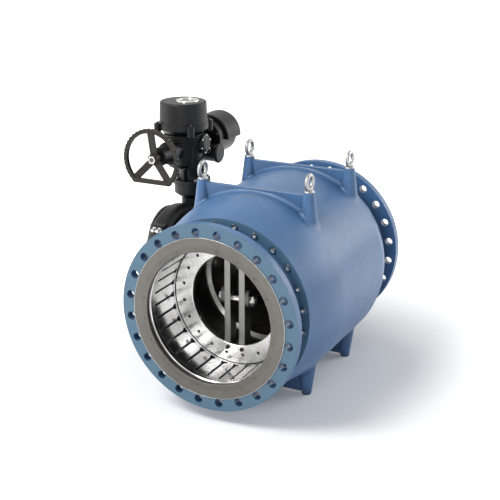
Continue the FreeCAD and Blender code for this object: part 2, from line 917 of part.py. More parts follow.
def make_shaft_seals():
    pitch = seal_chamber_depth / 2
    start = V(pad_x + gland_thickness, shaft_y, 0)
    seals = []
    for k in range(2):
        ring = tube(shaft_radius + sliding_gap, seal_chamber_radius - seat_gap, start + X * (pitch * k + 1),
                    X, pitch - 2)
        seals.append(ring)
    return group(seals)


def gland_screw_place():
    return V(pad_x + small_screw_diameter + 1, shaft_y + gland_radius - gland_screw_inset, 0)


def gland_screw_holes():
    hole = cylinder(small_screw_diameter / 2, gland_screw_place(), X, gland_thickness + 18)
    return around(hole, gland_screw_count, 0, shaft_axis, X)


def make_seal_gland():
    start = V(pad_x + 0.5, shaft_y, 0)
    ring = tube(shaft_radius + sliding_gap, gland_radius, start, X, gland_thickness - 0.5)
    pocket = cylinder(0.75 * small_screw_diameter + 0.5, gland_screw_place(), -X, small_screw_diameter + 1)
    return ring.cut(gland_screw_holes() + around(pocket, gland_screw_count, 0, shaft_axis, X))


# Piston

def ring_bolt_holes(start_y, length, spare=0.0):
    hole = cylinder(ring_bolt_diameter / 2 - spare, V(ring_bolt_radius, start_y, 0), Y, length)
    return around(hole, ring_bolt_count, 180.0 / ring_bolt_count)


def bar_bolt_places():
    x = bar_gap / 2 + bar_width / 2
    return [(side * x, end * bar_bolt_z) for side in (-1, 1) for end in (-1, 1)]


def bar_bolt_holes(start_y, length, spare=0.0):
    radius = bar_bolt_diameter / 2 - spare
    return [cylinder(radius, V(x, start_y, z), Y, length) for x, z in bar_bolt_places()]


def make_piston():
    lip_y = piston_rear_y - piston_rear_lip_length
    lip_radius = piston_bore_radius - piston_rear_lip
    body = turned_y([
        (piston_mouth_radius, web_front_y),
        (piston_radius, web_front_y),
        (piston_radius, piston_rear_y),
        (lip_radius + 2, piston_rear_y),
        (lip_radius, piston_rear_y - 2),
        (lip_radius, lip_y),
        (piston_bore_radius, lip_y),
        (piston_bore_radius, web_front_y + piston_web_thickness),
        (piston_mouth_radius, web_front_y + piston_web_thickness),
    ])
    return body.cut(ring_bolt_holes(web_front_y, 22) + bar_bolt_holes(web_front_y, 60))


def make_piston_front_ring():
    ring = turned_y([
        (piston_mouth_radius + 3, piston_front_y),
        (front_ring_radius - 3, piston_front_y),
        (front_ring_radius, piston_front_y + 3),
        (front_ring_radius, piston_front_y + front_ring_lip),
        (seal_inner_radius, piston_front_y + front_ring_lip),
        (seal_inner_radius, web_front_y),
        (piston_mouth_radius, web_front_y),
        (piston_mouth_radius, piston_front_y + 3),
    ])
    pocket = cylinder(0.75 * ring_bolt_diameter + 0.5, V(ring_bolt_radius, piston_front_y, 0), Y,
                      front_ring_lip)
    pockets = around(pocket, ring_bolt_count, 180.0 / ring_bolt_count)
    wide = [cylinder(0.75 * bar_bolt_diameter + 0.5, V(x, piston_front_y, z), Y, front_ring_lip)
            for x, z in bar_bolt_places()]
    holes = ring_bolt_holes(piston_front_y, 30) + bar_bolt_holes(piston_front_y, 30)
    return ring.cut(holes + pockets + wide)


def make_piston_ring_screws():
    seat_y = piston_front_y + front_ring_lip
    screw = cap_screw(ring_bolt_diameter - 2 * seat_gap, V(ring_bolt_radius, seat_y, 0), Y, 26)
    return group(around(screw, ring_bolt_count, 180.0 / ring_bolt_count))


def make_piston_seal():
    start_y = piston_front_y + front_ring_lip + seat_gap
    return tube(seal_inner_radius + seat_gap, piston_radius, V(0, start_y, 0), Y, web_front_y - start_y)


def crosshead_bar():
    x_low = bar_gap / 2
    x_high = x_low + bar_width
    reach = math.sqrt(piston_mouth_radius ** 2 - x_high ** 2) - 0.5
    rear_y = piston_front_y + bar_depth
    bar = box(V(x_low, piston_front_y + 1, -reach), V(x_high, rear_y, reach))
    tongue_y = web_front_y + piston_web_thickness
    tongue = box(V(x_low, tongue_y, -bar_tongue_reach), V(x_high, rear_y, bar_tongue_reach))
    bore = cylinder(gudgeon_diameter / 2 + seat_gap / 2, V(0, gudgeon_y, 0), X, x_high + 1)
    return fused([bar, tongue]).cut([bore] + bar_bolt_holes(tongue_y, 30))


def make_crosshead_bars():
    return group([crosshead_bar(), mirrored(crosshead_bar())])


def make_crosshead_bolts():
    seat_y = piston_front_y + front_ring_lip
    return group([cap_screw(bar_bolt_diameter - 2 * seat_gap, V(x, seat_y, z), Y, bar_bolt_length)
                  for x, z in bar_bolt_places()])


def make_gudgeon_pin():
    reach = rod_outer_x + gudgeon_nut_height + 6
    pin = cylinder(gudgeon_diameter / 2, V(-reach, gudgeon_y, 0), X, 2 * reach)
    return pin.makeChamfer(2, [pin.Edges[0], pin.Edges[2]])


def make_gudgeon_nuts():
    start = V(rod_outer_x + sliding_gap, gudgeon_y, 0)
    nut = hex_prism(gudgeon_nut_width, start, X, gudgeon_nut_height)
    nut = nut.cut(cylinder(gudgeon_diameter / 2 + seat_gap / 2, start, X, gudgeon_nut_height))
    return group([nut, mirrored(nut)])


# Slider crank

def connecting_rod():
    """Side plate of the rod; its small-end slot leaves room for the arc of the crank pin."""
    x_low = rod_x
    x_high = rod_outer_x
    big = (crank_pin_y, crank_pin_z, rod_big_end_radius)
    small = (gudgeon_y, 0, rod_small_end_radius)
    raised = (gudgeon_y, rod_rise, rod_small_end_radius)
    shank = hull_plate([(crank_pin_y, crank_pin_z, rod_shank_height / 2 + 8),
                        (gudgeon_y, 0, rod_shank_height / 2 - 4)], x_low, x_high)
    eye = hull_plate([small, raised], x_low, x_high)
    boss = cylinder(big[2], V(x_low, big[0], big[1]), X, rod_thickness)
    slot_radius = gudgeon_diameter / 2 + rod_play
    slot = hull_plate([(gudgeon_y, 0, slot_radius), (gudgeon_y, rod_rise, slot_radius)], x_low, x_high)
    bore = cylinder(crank_pin_diameter / 2 + crank_bush_wall + seat_gap / 2, V(x_low, big[0], big[1]), X,
                    rod_thickness)
    tie_y, tie_z = rod_tie_place()
    tie = cylinder(rod_tie_stub_radius + seat_gap / 2, V(x_low, tie_y, tie_z), X, rod_thickness)
    return fused([shank, eye, boss]).cut([slot, bore, tie])


def rod_tie_place():
    y = gudgeon_y + (crank_pin_y - gudgeon_y) * rod_tie_position
    return y, crank_pin_z * rod_tie_position


def make_connecting_rods():
    return group([connecting_rod(), mirrored(connecting_rod())])


def make_rod_tie_bar():
    y, z = rod_tie_place()
    reach = rod_outer_x + 12
    bar = cylinder(rod_tie_radius, V(-rod_x, y, z), X, 2 * rod_x)
    stub = cylinder(rod_tie_stub_radius, V(-reach, y, z), X, 2 * reach)
    nut = hex_prism(3 * rod_tie_stub_radius, V(rod_outer_x, y, z), X, 10)
    return fused([bar, stub, nut, mirrored(nut)])


def make_rod_bushes():
    inner = crank_pin_diameter / 2 + running_gap
    start = V(rod_x, crank_pin_y, crank_pin_z)
    bush = tube(inner, crank_pin_diameter / 2 + crank_bush_wall, start, X, rod_thickness)
    return group([bush, mirrored(bush)])


def make_crank_arm():
    half = crank_arm_width / 2
    ends = [(shaft_y, 0, crank_hub_radius), (crank_pin_y, crank_pin_z, crank_boss_radius)]
    arm = hull_plate(ends, -half, half)
    shaft_bore = cylinder(shaft_radius + seat_gap / 2, V(-half, shaft_y, 0), X, crank_arm_width)
    pin_bore = cylinder(crank_pin_diameter / 2 + seat_gap / 2, V(-half, crank_pin_y, crank_pin_z), X,
                        crank_arm_width)
    return arm.cut([shaft_bore, pin_bore, key_shape(0, seat_gap)])


def key_shape(x_centre, gap, half_length=key_length / 2):
    top = shaft_radius + key_height / 2
    low = V(x_centre - half_length - gap, shaft_y - key_width / 2 - gap, top - key_height - gap)
    high = V(x_centre + half_length + gap, shaft_y + key_width / 2 + gap, top + gap)
    return box(low, high)


def make_crank_pin():
    reach = rod_outer_x + pin_disc_thickness / 2
    return cylinder(crank_pin_diameter / 2, V(-reach, crank_pin_y, crank_pin_z), X, 2 * reach)


def make_crank_pin_discs():
    start = V(rod_outer_x + sliding_gap, crank_pin_y, crank_pin_z)
    disc = cylinder(pin_disc_radius, start, X, pin_disc_thickness)
    disc = disc.cut(cylinder(crank_pin_diameter / 2 + seat_gap / 2, start, X, pin_disc_thickness / 2))
    return group([disc, mirrored(disc)])


def make_drive_shaft():
    wheel_end = worm_x - wheel_width / 2 - 4
    pointer_end = gear_dome_x() - 10
    profile = [
        (0, shaft_right_end),
        (shaft_radius, shaft_right_end),
        (shaft_radius, pad_x - 4),
        (stub_radius, pad_x - 4),
        (stub_radius, wheel_end),
        (pointer_stem_radius, wheel_end),
        (pointer_stem_radius, pointer_end),
        (0, pointer_end),
    ]
    shaft = turned_x(profile, shaft_axis)
    return shaft.cut([key_shape(0, seat_gap), wheel_key(seat_gap)])


def wheel_key(gap):
    top = stub_radius + wheel_key_height / 2
    half_length = wheel_key_length / 2 + gap
    half_width = wheel_key_width / 2 + gap
    low = V(worm_x - half_length, shaft_y - half_width, top - wheel_key_height - gap)
    return box(low, V(worm_x + half_length, shaft_y + half_width, top + gap))


def make_shaft_keys():
    return group([key_shape(0, 0), wheel_key(0)])


def make_worm_wheel():
    half = wheel_width / 2
    inner = stub_radius + seat_gap / 2
    hub = stub_radius + 20
    step = wheel_radius - wheel_web_step
    throat = wheel_radius + wheel_room / 2
    profile = [
        (inner, worm_x - half - 3),
        (hub, worm_x - half - 3),
        (hub, worm_x - half / 2),
        (step, worm_x - half / 2),
        (step, worm_x - half),
        (throat, worm_x - half),
        (throat, worm_x + half),
        (step, worm_x + half),
        (step, worm_x + half / 2),
        (hub, worm_x + half / 2),
        (hub, worm_x + half + 3),
        (inner, worm_x + half + 3),
    ]
    wheel = turned_x(profile, shaft_axis)
    groove = Part.makeTorus(worm_y - shaft_y, worm_radius + sliding_gap, V(worm_x, shaft_y, 0), X)
    return wheel.cut([groove, wheel_key(seat_gap)])


def make_position_pointer():
    start = V(gear_dome_x() - 12, shaft_y, 0)
    disc = cylinder(pointer_hub_radius, start, X, 10)
    root = shaft_y + pointer_hub_radius - 4
    arrow = section([(root, -14), (shaft_y + pointer_radius, 0), (root, 14)],
                    lambda y, z: V(start.x, y, z)).extrude(X * 6)
    socket = cylinder(pointer_stem_radius + seat_gap / 2, start + X * 2, X, 8)
    return fused([disc, arrow]).cut(socket)


# Gearbox

def gear_case_outline():
    flange_x = pad_x - gear_flange_thickness
    shoulder_x = gear_case_end_x + gear_case_shoulder
    return [
        (0, pad_x - seat_gap),
        (pad_radius, pad_x - seat_gap),
        (pad_radius, flange_x),
        (pad_radius + gear_flange_step, flange_x),
        [(gear_case_radius, along(flange_x, shoulder_x, 0.3)),
         (gear_case_radius, along(flange_x, shoulder_x, 0.75)),
         (gear_case_radius - 6, shoulder_x),
         (gear_cover_radius, gear_case_end_x)],
        (0, gear_case_end_x),
    ]


def make_gearbox_housing():
    case = turned_x(gear_case_outline(), shaft_axis)
    tower = cylinder(adapter_neck_radius, worm_axis, Z, worm_tower_top_z)
    half = stop_boss_half
    stop_boss = box(V(stop_screw_x - stop_screw_pitch - half, stop_screw_y, stop_screw_z - half),
                    V(stop_screw_x + half, stop_screw_y + 120, stop_screw_z + half))
    body = fused([case, tower, stop_boss])
    cavity_depth = worm_x + wheel_width / 2 + 10 - gear_case_end_x
    cavity = cylinder(wheel_radius + wheel_room, V(gear_case_end_x, shaft_y, 0), X, cavity_depth)
    shaft_bore = cylinder(shaft_radius + 2, V(gear_case_end_x, shaft_y, 0), X, gear_case_depth)
    worm_space = worm_length + 2 * worm_bearing_height
    worm_room = cylinder(bearing_radius + seat_gap, worm_axis - Z * (worm_space / 2), Z, worm_space)
    input_bore = cylinder(worm_shaft_radius + worm_shaft_gap, worm_axis, Z, worm_tower_top_z)
    body = body.cut([cavity, shaft_bore, worm_room, input_bore] + stud_holes(gear_stud_reach + 8, -X))
    stops = [cylinder(stop_screw_diameter / 2, V(x, stop_screw_y, stop_screw_z), Y, 84)
             for x in stop_screw_xs()]
    feet = adapter_screw_holes(worm_tower_top_z - 30, 30)
    return body.cut(stops + feet + gear_cover_screw_holes(gear_case_end_x, 30))


def stop_screw_xs():
    return [stop_screw_x, stop_screw_x - stop_screw_pitch]


def gear_cover_screw_holes(start_x, length):
    hole = cylinder(hex_bolt_diameter / 2, V(start_x, shaft_y + gear_cover_screw_radius, 0), X, length)
    return around(hole, gear_cover_screw_count, 180.0 / gear_cover_screw_count, shaft_axis, X)


def gear_dome_x():
    """Outer face of the boss that carries the pointer."""
    return gear_cover_x - 8


def make_gearbox_cover():
    cover = turned_x([
        (0, gear_case_end_x - seat_gap),
        (gear_cover_radius - 2, gear_case_end_x - seat_gap),
        [(gear_cover_radius - 8, gear_case_end_x - 14), (gear_cover_radius - 26, gear_cover_x)],
        (90, gear_cover_x),
        (84, gear_dome_x()),
        (0, gear_dome_x()),
    ], shaft_axis)
    dome = turned_x([
        (0, gear_case_end_x - seat_gap),
        (gear_dome_radius, gear_case_end_x - seat_gap),
        [(gear_dome_radius - 2, gear_cover_x), (gear_dome_radius - 24, gear_cover_x - gear_dome_depth / 2),
         (gear_dome_radius - 70, gear_cover_x - gear_dome_depth)],
        (0, gear_cover_x - gear_dome_depth),
    ], shaft_axis + V(0, gear_dome_y, gear_dome_z))
    rib_end = shaft_y + gear_cover_screw_radius - 30
    rib = box(V(gear_cover_x - 6, shaft_y + 92, -7), V(gear_cover_x + 2, rib_end, 7))
    recess = cylinder(pointer_radius + 4, V(gear_dome_x(), shaft_y, 0), -X, gear_dome_depth + 1)
    stem_radius = pointer_stem_radius + worm_shaft_gap
    stem = cylinder(stem_radius, V(gear_case_end_x, shaft_y, 0), -X, gear_dome_depth)
    screws = gear_cover_screw_holes(gear_cover_x, gear_cover_thickness)
    seat = cylinder(1.1 * hex_bolt_diameter, V(gear_cover_x, shaft_y + gear_cover_screw_radius, 0), -X,
                    gear_dome_depth + 1)
    seats = around(seat, gear_cover_screw_count, 180.0 / gear_cover_screw_count, shaft_axis, X)
    body = fused([cover, dome] + around(rib, 5, 0.0, shaft_axis, X))
    return body.cut([recess, stem] + screws + seats)


def make_m16_hex_bolts():
    """Like bolts of the gearbox cover and the actuator base."""
    size = hex_bolt_diameter - 2 * seat_gap
    cover = hex_bolt(size, V(gear_cover_x, shaft_y + gear_cover_screw_radius, 0), X, hex_bolt_grip)
    base = hex_bolt(size, worm_axis + V(base_bolt_radius, 0, base_flange_top_z), -Z, hex_bolt_grip)
    first = 180.0 / gear_cover_screw_count
    return group(around(cover, gear_cover_screw_count, first, shaft_axis, X)
                 + around(base, base_bolt_count, 45.0, worm_axis, Z))


def make_gearbox_studs():
    places = stud_places(gear_stud_radius, gear_stud_count, 180.0 / gear_stud_count)
    start_x = pad_x - gear_stud_reach - 6
    return group([cylinder(gear_stud_diameter / 2 - seat_gap, V(start_x, y, z), X, 2 * gear_stud_reach + 6)
                  for y, z in places])


def make_stop_screws():
    screws = []
    for x in stop_screw_xs():
        shank = cylinder(stop_screw_diameter / 2 - seat_gap, V(x, stop_screw_y - 44, stop_screw_z), Y, 120)
        nut = hex_prism(30, V(x, stop_screw_y - 14, stop_screw_z), Y, 14)
        screws.append(fused([shank, nut]))
    return group(screws)


def make_worm_bearings():
    low = worm_axis - Z * (worm_length / 2 + worm_bearing_height - seat_gap)
    high = worm_axis + Z * (worm_length / 2 + sliding_gap)
    inner = worm_shaft_radius + running_gap
    height = worm_bearing_height - 2 * seat_gap
    return group([tube(inner, bearing_radius, low, Z, height), tube(inner, bearing_radius, high, Z, height)])


def make_worm_shaft():
    low = -worm_length / 2 - worm_bearing_height + 2
    top = adapter_top_z + 20
    return turned_z([
        (0, low),
        (worm_shaft_radius, low),
        (worm_shaft_radius, -worm_length / 2),
        (worm_radius, -worm_length / 2 + 8),
        (worm_radius, worm_length / 2 - 8),
        (worm_shaft_radius, worm_length / 2),
        (worm_shaft_radius, top),
        (0, top),
    ], worm_axis)


def make_output_drive():
    """Plug sleeve of the actuator that drives the worm shaft."""
    start = worm_axis + Z * (adapter_bell_z + 12)
    height = base_flange_top_z + 40 - start.z
    sleeve = tube(worm_shaft_radius + seat_gap / 2, drive_sleeve_radius, start, Z, height)
    collar = tube(worm_shaft_radius + seat_gap / 2, drive_collar_radius, start, Z, 26)
    return fused([sleeve, collar])


# Adapter and actuator

def adapter_screw_holes(start_z, length):
    hole = cylinder(small_screw_diameter / 2, worm_axis + V(adapter_screw_radius, 0, start_z), Z, length)
    return around(hole, 4, 45.0, worm_axis, Z)


def base_bolt_holes(start_z, length):
    hole = cylinder(hex_bolt_diameter / 2, worm_axis + V(base_bolt_radius, 0, start_z), Z, length)
    return around(hole, base_bolt_count, 45.0, worm_axis, Z)


def make_input_adapter():
    foot_z = worm_tower_top_z
    body = turned_z([
        (0, foot_z),
        (adapter_neck_radius, foot_z),
        (adapter_bell_radius, adapter_bell_z),
        (adapter_bell_radius, adapter_top_z - adapter_rim_height),
        (adapter_bell_radius + adapter_rim, adapter_top_z - adapter_rim_height),
        (adapter_bell_radius + adapter_rim, adapter_top_z),
        (0, adapter_top_z),
    ], worm_axis)
    cavity = turned_z([
        (0, foot_z),
        (worm_shaft_radius + worm_shaft_gap, foot_z),
        (worm_shaft_radius + worm_shaft_gap, adapter_floor_z),
        (adapter_cavity_radius, adapter_floor_z),
        (adapter_cavity_radius, adapter_top_z),
        (0, adapter_top_z),
    ], worm_axis)
    return body.cut([cavity] + adapter_screw_holes(foot_z, 40) + base_bolt_holes(adapter_top_z - 40, 40))


def column_lug():
    base = column_axis + V(lug_circle_radius, 0, cover_joint_z - lug_height)
    return cylinder(lug_radius, base, Z, lug_height)


def make_actuator_housing():
    base_z = adapter_top_z
    flange_top = base_flange_top_z
    pieces = [
        cylinder(base_flange_radius, worm_axis + Z * (base_z + seat_gap), Z,
                 base_flange_thickness - seat_gap),
        turned_z([(0, flange_top), (neck_tube_radius + 6, flange_top), (neck_tube_radius, flange_top + 20),
                  (neck_tube_radius, column_bottom_z + 60), (0, column_bottom_z + 60)], worm_axis),
        turned_z([(0, column_bottom_z), (column_radius - 20, column_bottom_z),
                  (column_radius, column_bottom_z + 25),
                  (column_radius, cover_joint_z - collar_thickness - collar_cone_height),
                  (collar_radius, cover_joint_z - collar_thickness),
                  (collar_radius, cover_joint_z), (0, cover_joint_z)], column_axis),
        cylinder(handwheel_tube_radius, hand_axis + Y * handwheel_tube_front_y, Y,
                 handwheel_tube_length - 24),
        cylinder(handwheel_tube_radius + 14, hand_axis + Y * (handwheel_tube_front_y + 120), Y, 30),
        cylinder(motor_neck_radius, hand_axis + Y * column_y, Y, motor_neck_step_y - column_y),
        cylinder(motor_throat_radius, hand_axis + Y * column_y, Y, motor_flange_y - column_y),
        cylinder(motor_flange_radius, hand_axis + Y * (motor_flange_y - 20), Y, 20),
        cylinder(terminal_radius, V(drive_axis_x, terminal_y, terminal_z), X, terminal_end_x - drive_axis_x),
        entry_boss(),
        cylinder(side_cover_radius + 8, V(drive_axis_x, side_cover_y, side_cover_z), X, side_cover_reach),
    ]
    pieces += around(column_lug(), 4, 45.0, column_axis, Z)
    body = fused(pieces)
    room = cylinder(drive_collar_radius + 4, worm_axis + Z * base_z, Z, base_flange_thickness + 60)
    shaft_room = cylinder(handwheel_shaft_radius + handwheel_bush_wall,
                          hand_axis + Y * handwheel_tube_front_y, Y, 2 * handwheel_bush_length)
    motor_face = cylinder(motor_radius + 20, hand_axis + Y * motor_flange_y, Y, motor_length)
    entries = [cylinder(entry_thread_radius, place, Y, 24) for place in entry_places()]
    body = body.cut([room, shaft_room, motor_face] + entries)
    return body.cut(base_bolt_holes(base_z, 60) + cover_screw_holes(cover_joint_z - 40, 40))


def entry_boss():
    places = entry_places()
    low = places[0] - V(entry_boss_half, 0, entry_boss_half)
    high = places[-1] + V(entry_boss_half, terminal_radius, entry_boss_half)
    return box(low, high)


def entry_places():
    return [hand_axis + V(x, terminal_y - terminal_radius, z) for x, z in entry_offsets]


def make_cable_entry_plugs():
    plugs = []
    for place in entry_places():
        head = hex_prism(32, place - Y * 10, Y, 10)
        plugs.append(fused([head, cylinder(entry_thread_radius - seat_gap, place, Y, 20)]))
    return group(plugs)


def cover_screw_holes(start_z, length):
    hole = cylinder(5, column_axis + V(lug_circle_radius, 0, start_z), Z, length)
    return around(hole, 4, 45.0, column_axis, Z)


def make_switch_cover():
    z = cover_joint_z + seat_gap
    top = cover_top_z
    body = turned_z([
        (0, z),
        (collar_radius, z),
        (collar_radius, z + 12),
        (cover_radius + 2, z + 14),
        (cover_radius - 2, top - 12),
        [(cover_radius - 5, top - 4), (cover_radius - 13, top)],
        (0, top),
    ], column_axis)
    flange = cylinder(lug_radius, column_axis + V(lug_circle_radius, 0, z), Z, 12)
    room = cylinder(cover_radius - 14, column_axis + Z * z, Z, cover_height - 14)
    window = cylinder(window_radius + seat_gap, V(window_x, window_y, z), Z, cover_height + 10)
    body = fused([body] + around(flange, 4, 45.0, column_axis, Z))
    return body.cut([room, window] + cover_screw_holes(z, 20))


def make_switch_cover_screws():
    seat = cover_joint_z + seat_gap + 12
    screw = cap_screw(cover_screw_diameter - 2 * seat_gap, column_axis + V(lug_circle_radius, 0, seat), -Z,
                      cover_screw_length)
    return group(around(screw, 4, 45.0, column_axis, Z))


def make_display_window():
    base = V(window_x, window_y, cover_top_z - window_thickness)
    return cylinder(window_radius, base, Z, window_thickness)


def make_display_bezel():
    base = V(window_x, window_y, cover_top_z)
    return turned_z([
        (window_radius - 4, 0.2),
        (bezel_radius, 0.2),
        (bezel_radius - 2, 5),
        (window_radius, 7),
    ], base)


def make_motor_housing():
    start = motor_flange_y + seat_gap
    return turned_y([
        (0, start),
        (motor_flange_radius, start),
        (motor_flange_radius, start + motor_flange_thickness),
        (motor_radius - 6, start + motor_flange_thickness),
        (motor_radius, start + motor_flange_thickness + 8),
        (motor_radius, motor_end_y - 40),
        [(motor_radius - 14, motor_end_y - 12), (motor_radius - 40, motor_end_y - 2), (0, motor_end_y)],
    ], hand_axis)


def make_motor_cowl():
    outer = cowl_radius
    inner = cowl_radius - cowl_wall
    rim = motor_radius + seat_gap
    end = motor_end_y + 8
    shell = turned_y([
        (rim, cowl_front_y),
        (outer - 4, cowl_front_y),
        (outer, cowl_front_y + 4),
        (outer, end - 36),
        [(outer - 12, end - 10), (outer - 44, end), (0, end + 1)],
        (0, motor_end_y + seat_gap),
        (motor_radius - 38, motor_end_y + seat_gap),
        (inner - 8, motor_end_y - 20),
        (inner, motor_end_y - 60),
        (inner, cowl_front_y + 10),
        (rim, cowl_front_y + 10),
    ], hand_axis)
    upper = box(V(drive_axis_x - 200, cowl_front_y - 10, drive_axis_z - 6),
                V(drive_axis_x + 200, end + 20, drive_axis_z + 200))
    return shell.common(upper)


def make_terminal_cover():
    face = terminal_end_x + seat_gap
    rim = terminal_radius + 6
    return turned_x([
        (0, face),
        (rim, face),
        (rim, face + 12),
        [(rim - 4, face + 17), (rim - 12, face + terminal_cover_thickness)],
        (0, face + terminal_cover_thickness),
    ], V(0, terminal_y, terminal_z))


def make_side_cover():
    x = side_cover_x + seat_gap
    base = V(0, side_cover_y, side_cover_z)
    return turned_x([
        (0, x),
        (side_cover_radius + 8, x),
        (side_cover_radius + 8, x + 10),
        [(side_cover_radius, x + 14), (side_cover_radius - 16, x + side_cover_thickness)],
        (0, x + side_cover_thickness),
    ], base)


# Handwheel

def wheel_disc(radius, chord_drop, start_y, depth):
    """Disc with a flat chord below its centre, facing along the pipe."""
    disc = cylinder(radius, hand_axis + Y * start_y, Y, depth)
    low = hand_axis + V(-radius - 1, start_y - 1, -radius - 1)
    high = hand_axis + V(radius + 1, start_y + depth + 1, -chord_drop)
    return disc.cut(box(low, high))


def wheel_spoke(heading):
    """Flat spoke that runs from the hub out to the rim and forward by the dish."""
    half = wheel_spoke_width / 2
    hub_y = wheel_rim_y + wheel_dish
    start = hand_axis + V(0, hub_y, 0)
    reach = wheel_outer_radius - wheel_rim_width / 2
    profile = [
        V(0, hub_y, 0),
        V(0, hub_y + wheel_spoke_depth, 0),
        V(40, hub_y + wheel_spoke_depth, 0),
        V(reach, wheel_rim_y + wheel_spoke_depth + 4, 0),
        V(reach, wheel_rim_y + 4, 0),
        V(40, hub_y, 0),
    ]
    placed = [hand_axis + point for point in profile]
    spoke = Part.Face(Part.makePolygon(placed + [placed[0]])).extrude(Z * wheel_spoke_width)
    spoke.translate(Z * -half)
    spoke.rotate(start, ANGLE_AXIS, heading)
    return spoke


def make_handwheel():
    rim = wheel_disc(wheel_outer_radius, wheel_chord_drop, wheel_rim_y, wheel_rim_depth)
    rim = rim.makeFillet(7, [edge for edge in rim.Edges if abs(edge.BoundBox.YLength) < 0.01])
    hollow = wheel_disc(wheel_outer_radius - wheel_rim_width, wheel_chord_drop - wheel_rim_width,
                        wheel_rim_y - 1, wheel_rim_depth + 2)
    rim = rim.cut(hollow)
    corner = math.degrees(math.asin(wheel_chord_drop / wheel_outer_radius))
    span = 180.0 + 2 * corner - 16
    grips = []
    for k in range(grip_count + 1):
        angle = math.radians(-corner + 8 + span * k / grip_count)
        reach = wheel_outer_radius + grip_radius - grip_depth
        place = hand_axis + V(reach * math.cos(angle), wheel_rim_y - 1, reach * math.sin(angle))
        grips.append(cylinder(grip_radius, place, Y, wheel_rim_depth + 2))
    hub = cylinder(wheel_hub_radius, hand_axis + Y * wheel_hub_y, Y, wheel_hub_depth)
    spokes = [wheel_spoke(90), wheel_spoke(-corner + 4), wheel_spoke(180 + corner - 4)]
    bore = cylinder(handwheel_shaft_radius + seat_gap / 2, hand_axis + Y * wheel_rim_y, Y, 140)
    return fused([rim.cut(grips), hub] + spokes).cut(bore)


def make_handwheel_shaft():
    front = wheel_hub_y - handwheel_nut_height - 1
    rear = handwheel_tube_front_y + 2 * handwheel_bush_length - 10
    return cylinder(handwheel_shaft_radius, hand_axis + Y * front, Y, rear - front)


def make_handwheel_nut():
    seat = hand_axis + Y * (wheel_hub_y - handwheel_nut_height)
    nut = hex_prism(3 * handwheel_shaft_radius, seat, Y, handwheel_nut_height)
    return nut.cut(cylinder(handwheel_shaft_radius + seat_gap / 2, seat, Y, handwheel_nut_height))


def make_handwheel_bearing():
    start = hand_axis + Y * (handwheel_tube_front_y + 4)
    outer = handwheel_shaft_radius + handwheel_bush_wall - seat_gap
    return tube(handwheel_shaft_radius + running_gap, outer, start, Y, handwheel_bush_length)


PIECES = {
    "body_casing": make_body_casing,
    "support_saddles": make_support_saddles,
    "inlet_flange": make_inlet_flange,
    "inner_housing": make_inner_housing,
    "housing_ribs": make_housing_ribs,
    "outlet_section": make_outlet_section,
    "outlet_cap_screws": make_outlet_cap_screws,
    "outlet_facing_ring": make_outlet_facing_ring,
    "clamp_ring": make_clamp_ring,
    "clamp_ring_screws": make_clamp_ring_screws,
    "seat_ring": make_seat_ring,
    "slotted_cage": make_slotted_cage,
    "guide_rails": make_guide_rails,
    "nose_cap": make_nose_cap,
    "m12_cap_screws": make_m12_cap_screws,
    "lifting_eyebolts": make_lifting_eyebolts,
    "shaft_bushes": make_shaft_bushes,
    "shaft_seals": make_shaft_seals,
    "seal_gland": make_seal_gland,
    "piston": make_piston,
    "piston_front_ring": make_piston_front_ring,
    "piston_ring_screws": make_piston_ring_screws,
    "piston_seal": make_piston_seal,
    "crosshead_bars": make_crosshead_bars,
    "crosshead_bolts": make_crosshead_bolts,
    "gudgeon_pin": make_gudgeon_pin,
    "gudgeon_nuts": make_gudgeon_nuts,
    "connecting_rods": make_connecting_rods,
    "rod_tie_bar": make_rod_tie_bar,
    "rod_bushes": make_rod_bushes,
    "crank_arm": make_crank_arm,
    "crank_pin": make_crank_pin,
    "crank_pin_discs": make_crank_pin_discs,
    "drive_shaft": make_drive_shaft,
    "shaft_keys": make_shaft_keys,
    "worm_wheel": make_worm_wheel,
    "position_pointer": make_position_pointer,
    "gearbox_housing": make_gearbox_housing,
    "gearbox_cover": make_gearbox_cover,
    "m16_hex_bolts": make_m16_hex_bolts,
    "gearbox_studs": make_gearbox_studs,
    "stop_screws": make_stop_screws,
    "worm_bearings": make_worm_bearings,
    "worm_shaft": make_worm_shaft,
    "output_drive": make_output_drive,
    "input_adapter": make_input_adapter,
    "actuator_housing": make_actuator_housing,
    "switch_cover": make_switch_cover,
    "switch_cover_screws": make_switch_cover_screws,
    "display_window": make_display_window,
    "display_bezel": make_display_bezel,
    "motor_housing": make_motor_housing,
    "motor_cowl": make_motor_cowl,
    "terminal_cover": make_terminal_cover,
    "cable_entry_plugs": make_cable_entry_plugs,
    "side_cover": make_side_cover,
    "handwheel": make_handwheel,
    "handwheel_shaft": make_handwheel_shaft,
    "handwheel_nut": make_handwheel_nut,
    "handwheel_bearing": make_handwheel_bearing,
}


def main():
    os.makedirs("parts", exist_ok=True)
    for name, make in PIECES.items():
        shape = make()
        if not shape.isValid():
            print("invalid solid:", name)
        shape.exportStep(os.path.join("parts", name + ".step"))


main()
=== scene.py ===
import json
import math

import bmesh
import bpy
from mathutils import Matrix, Vector


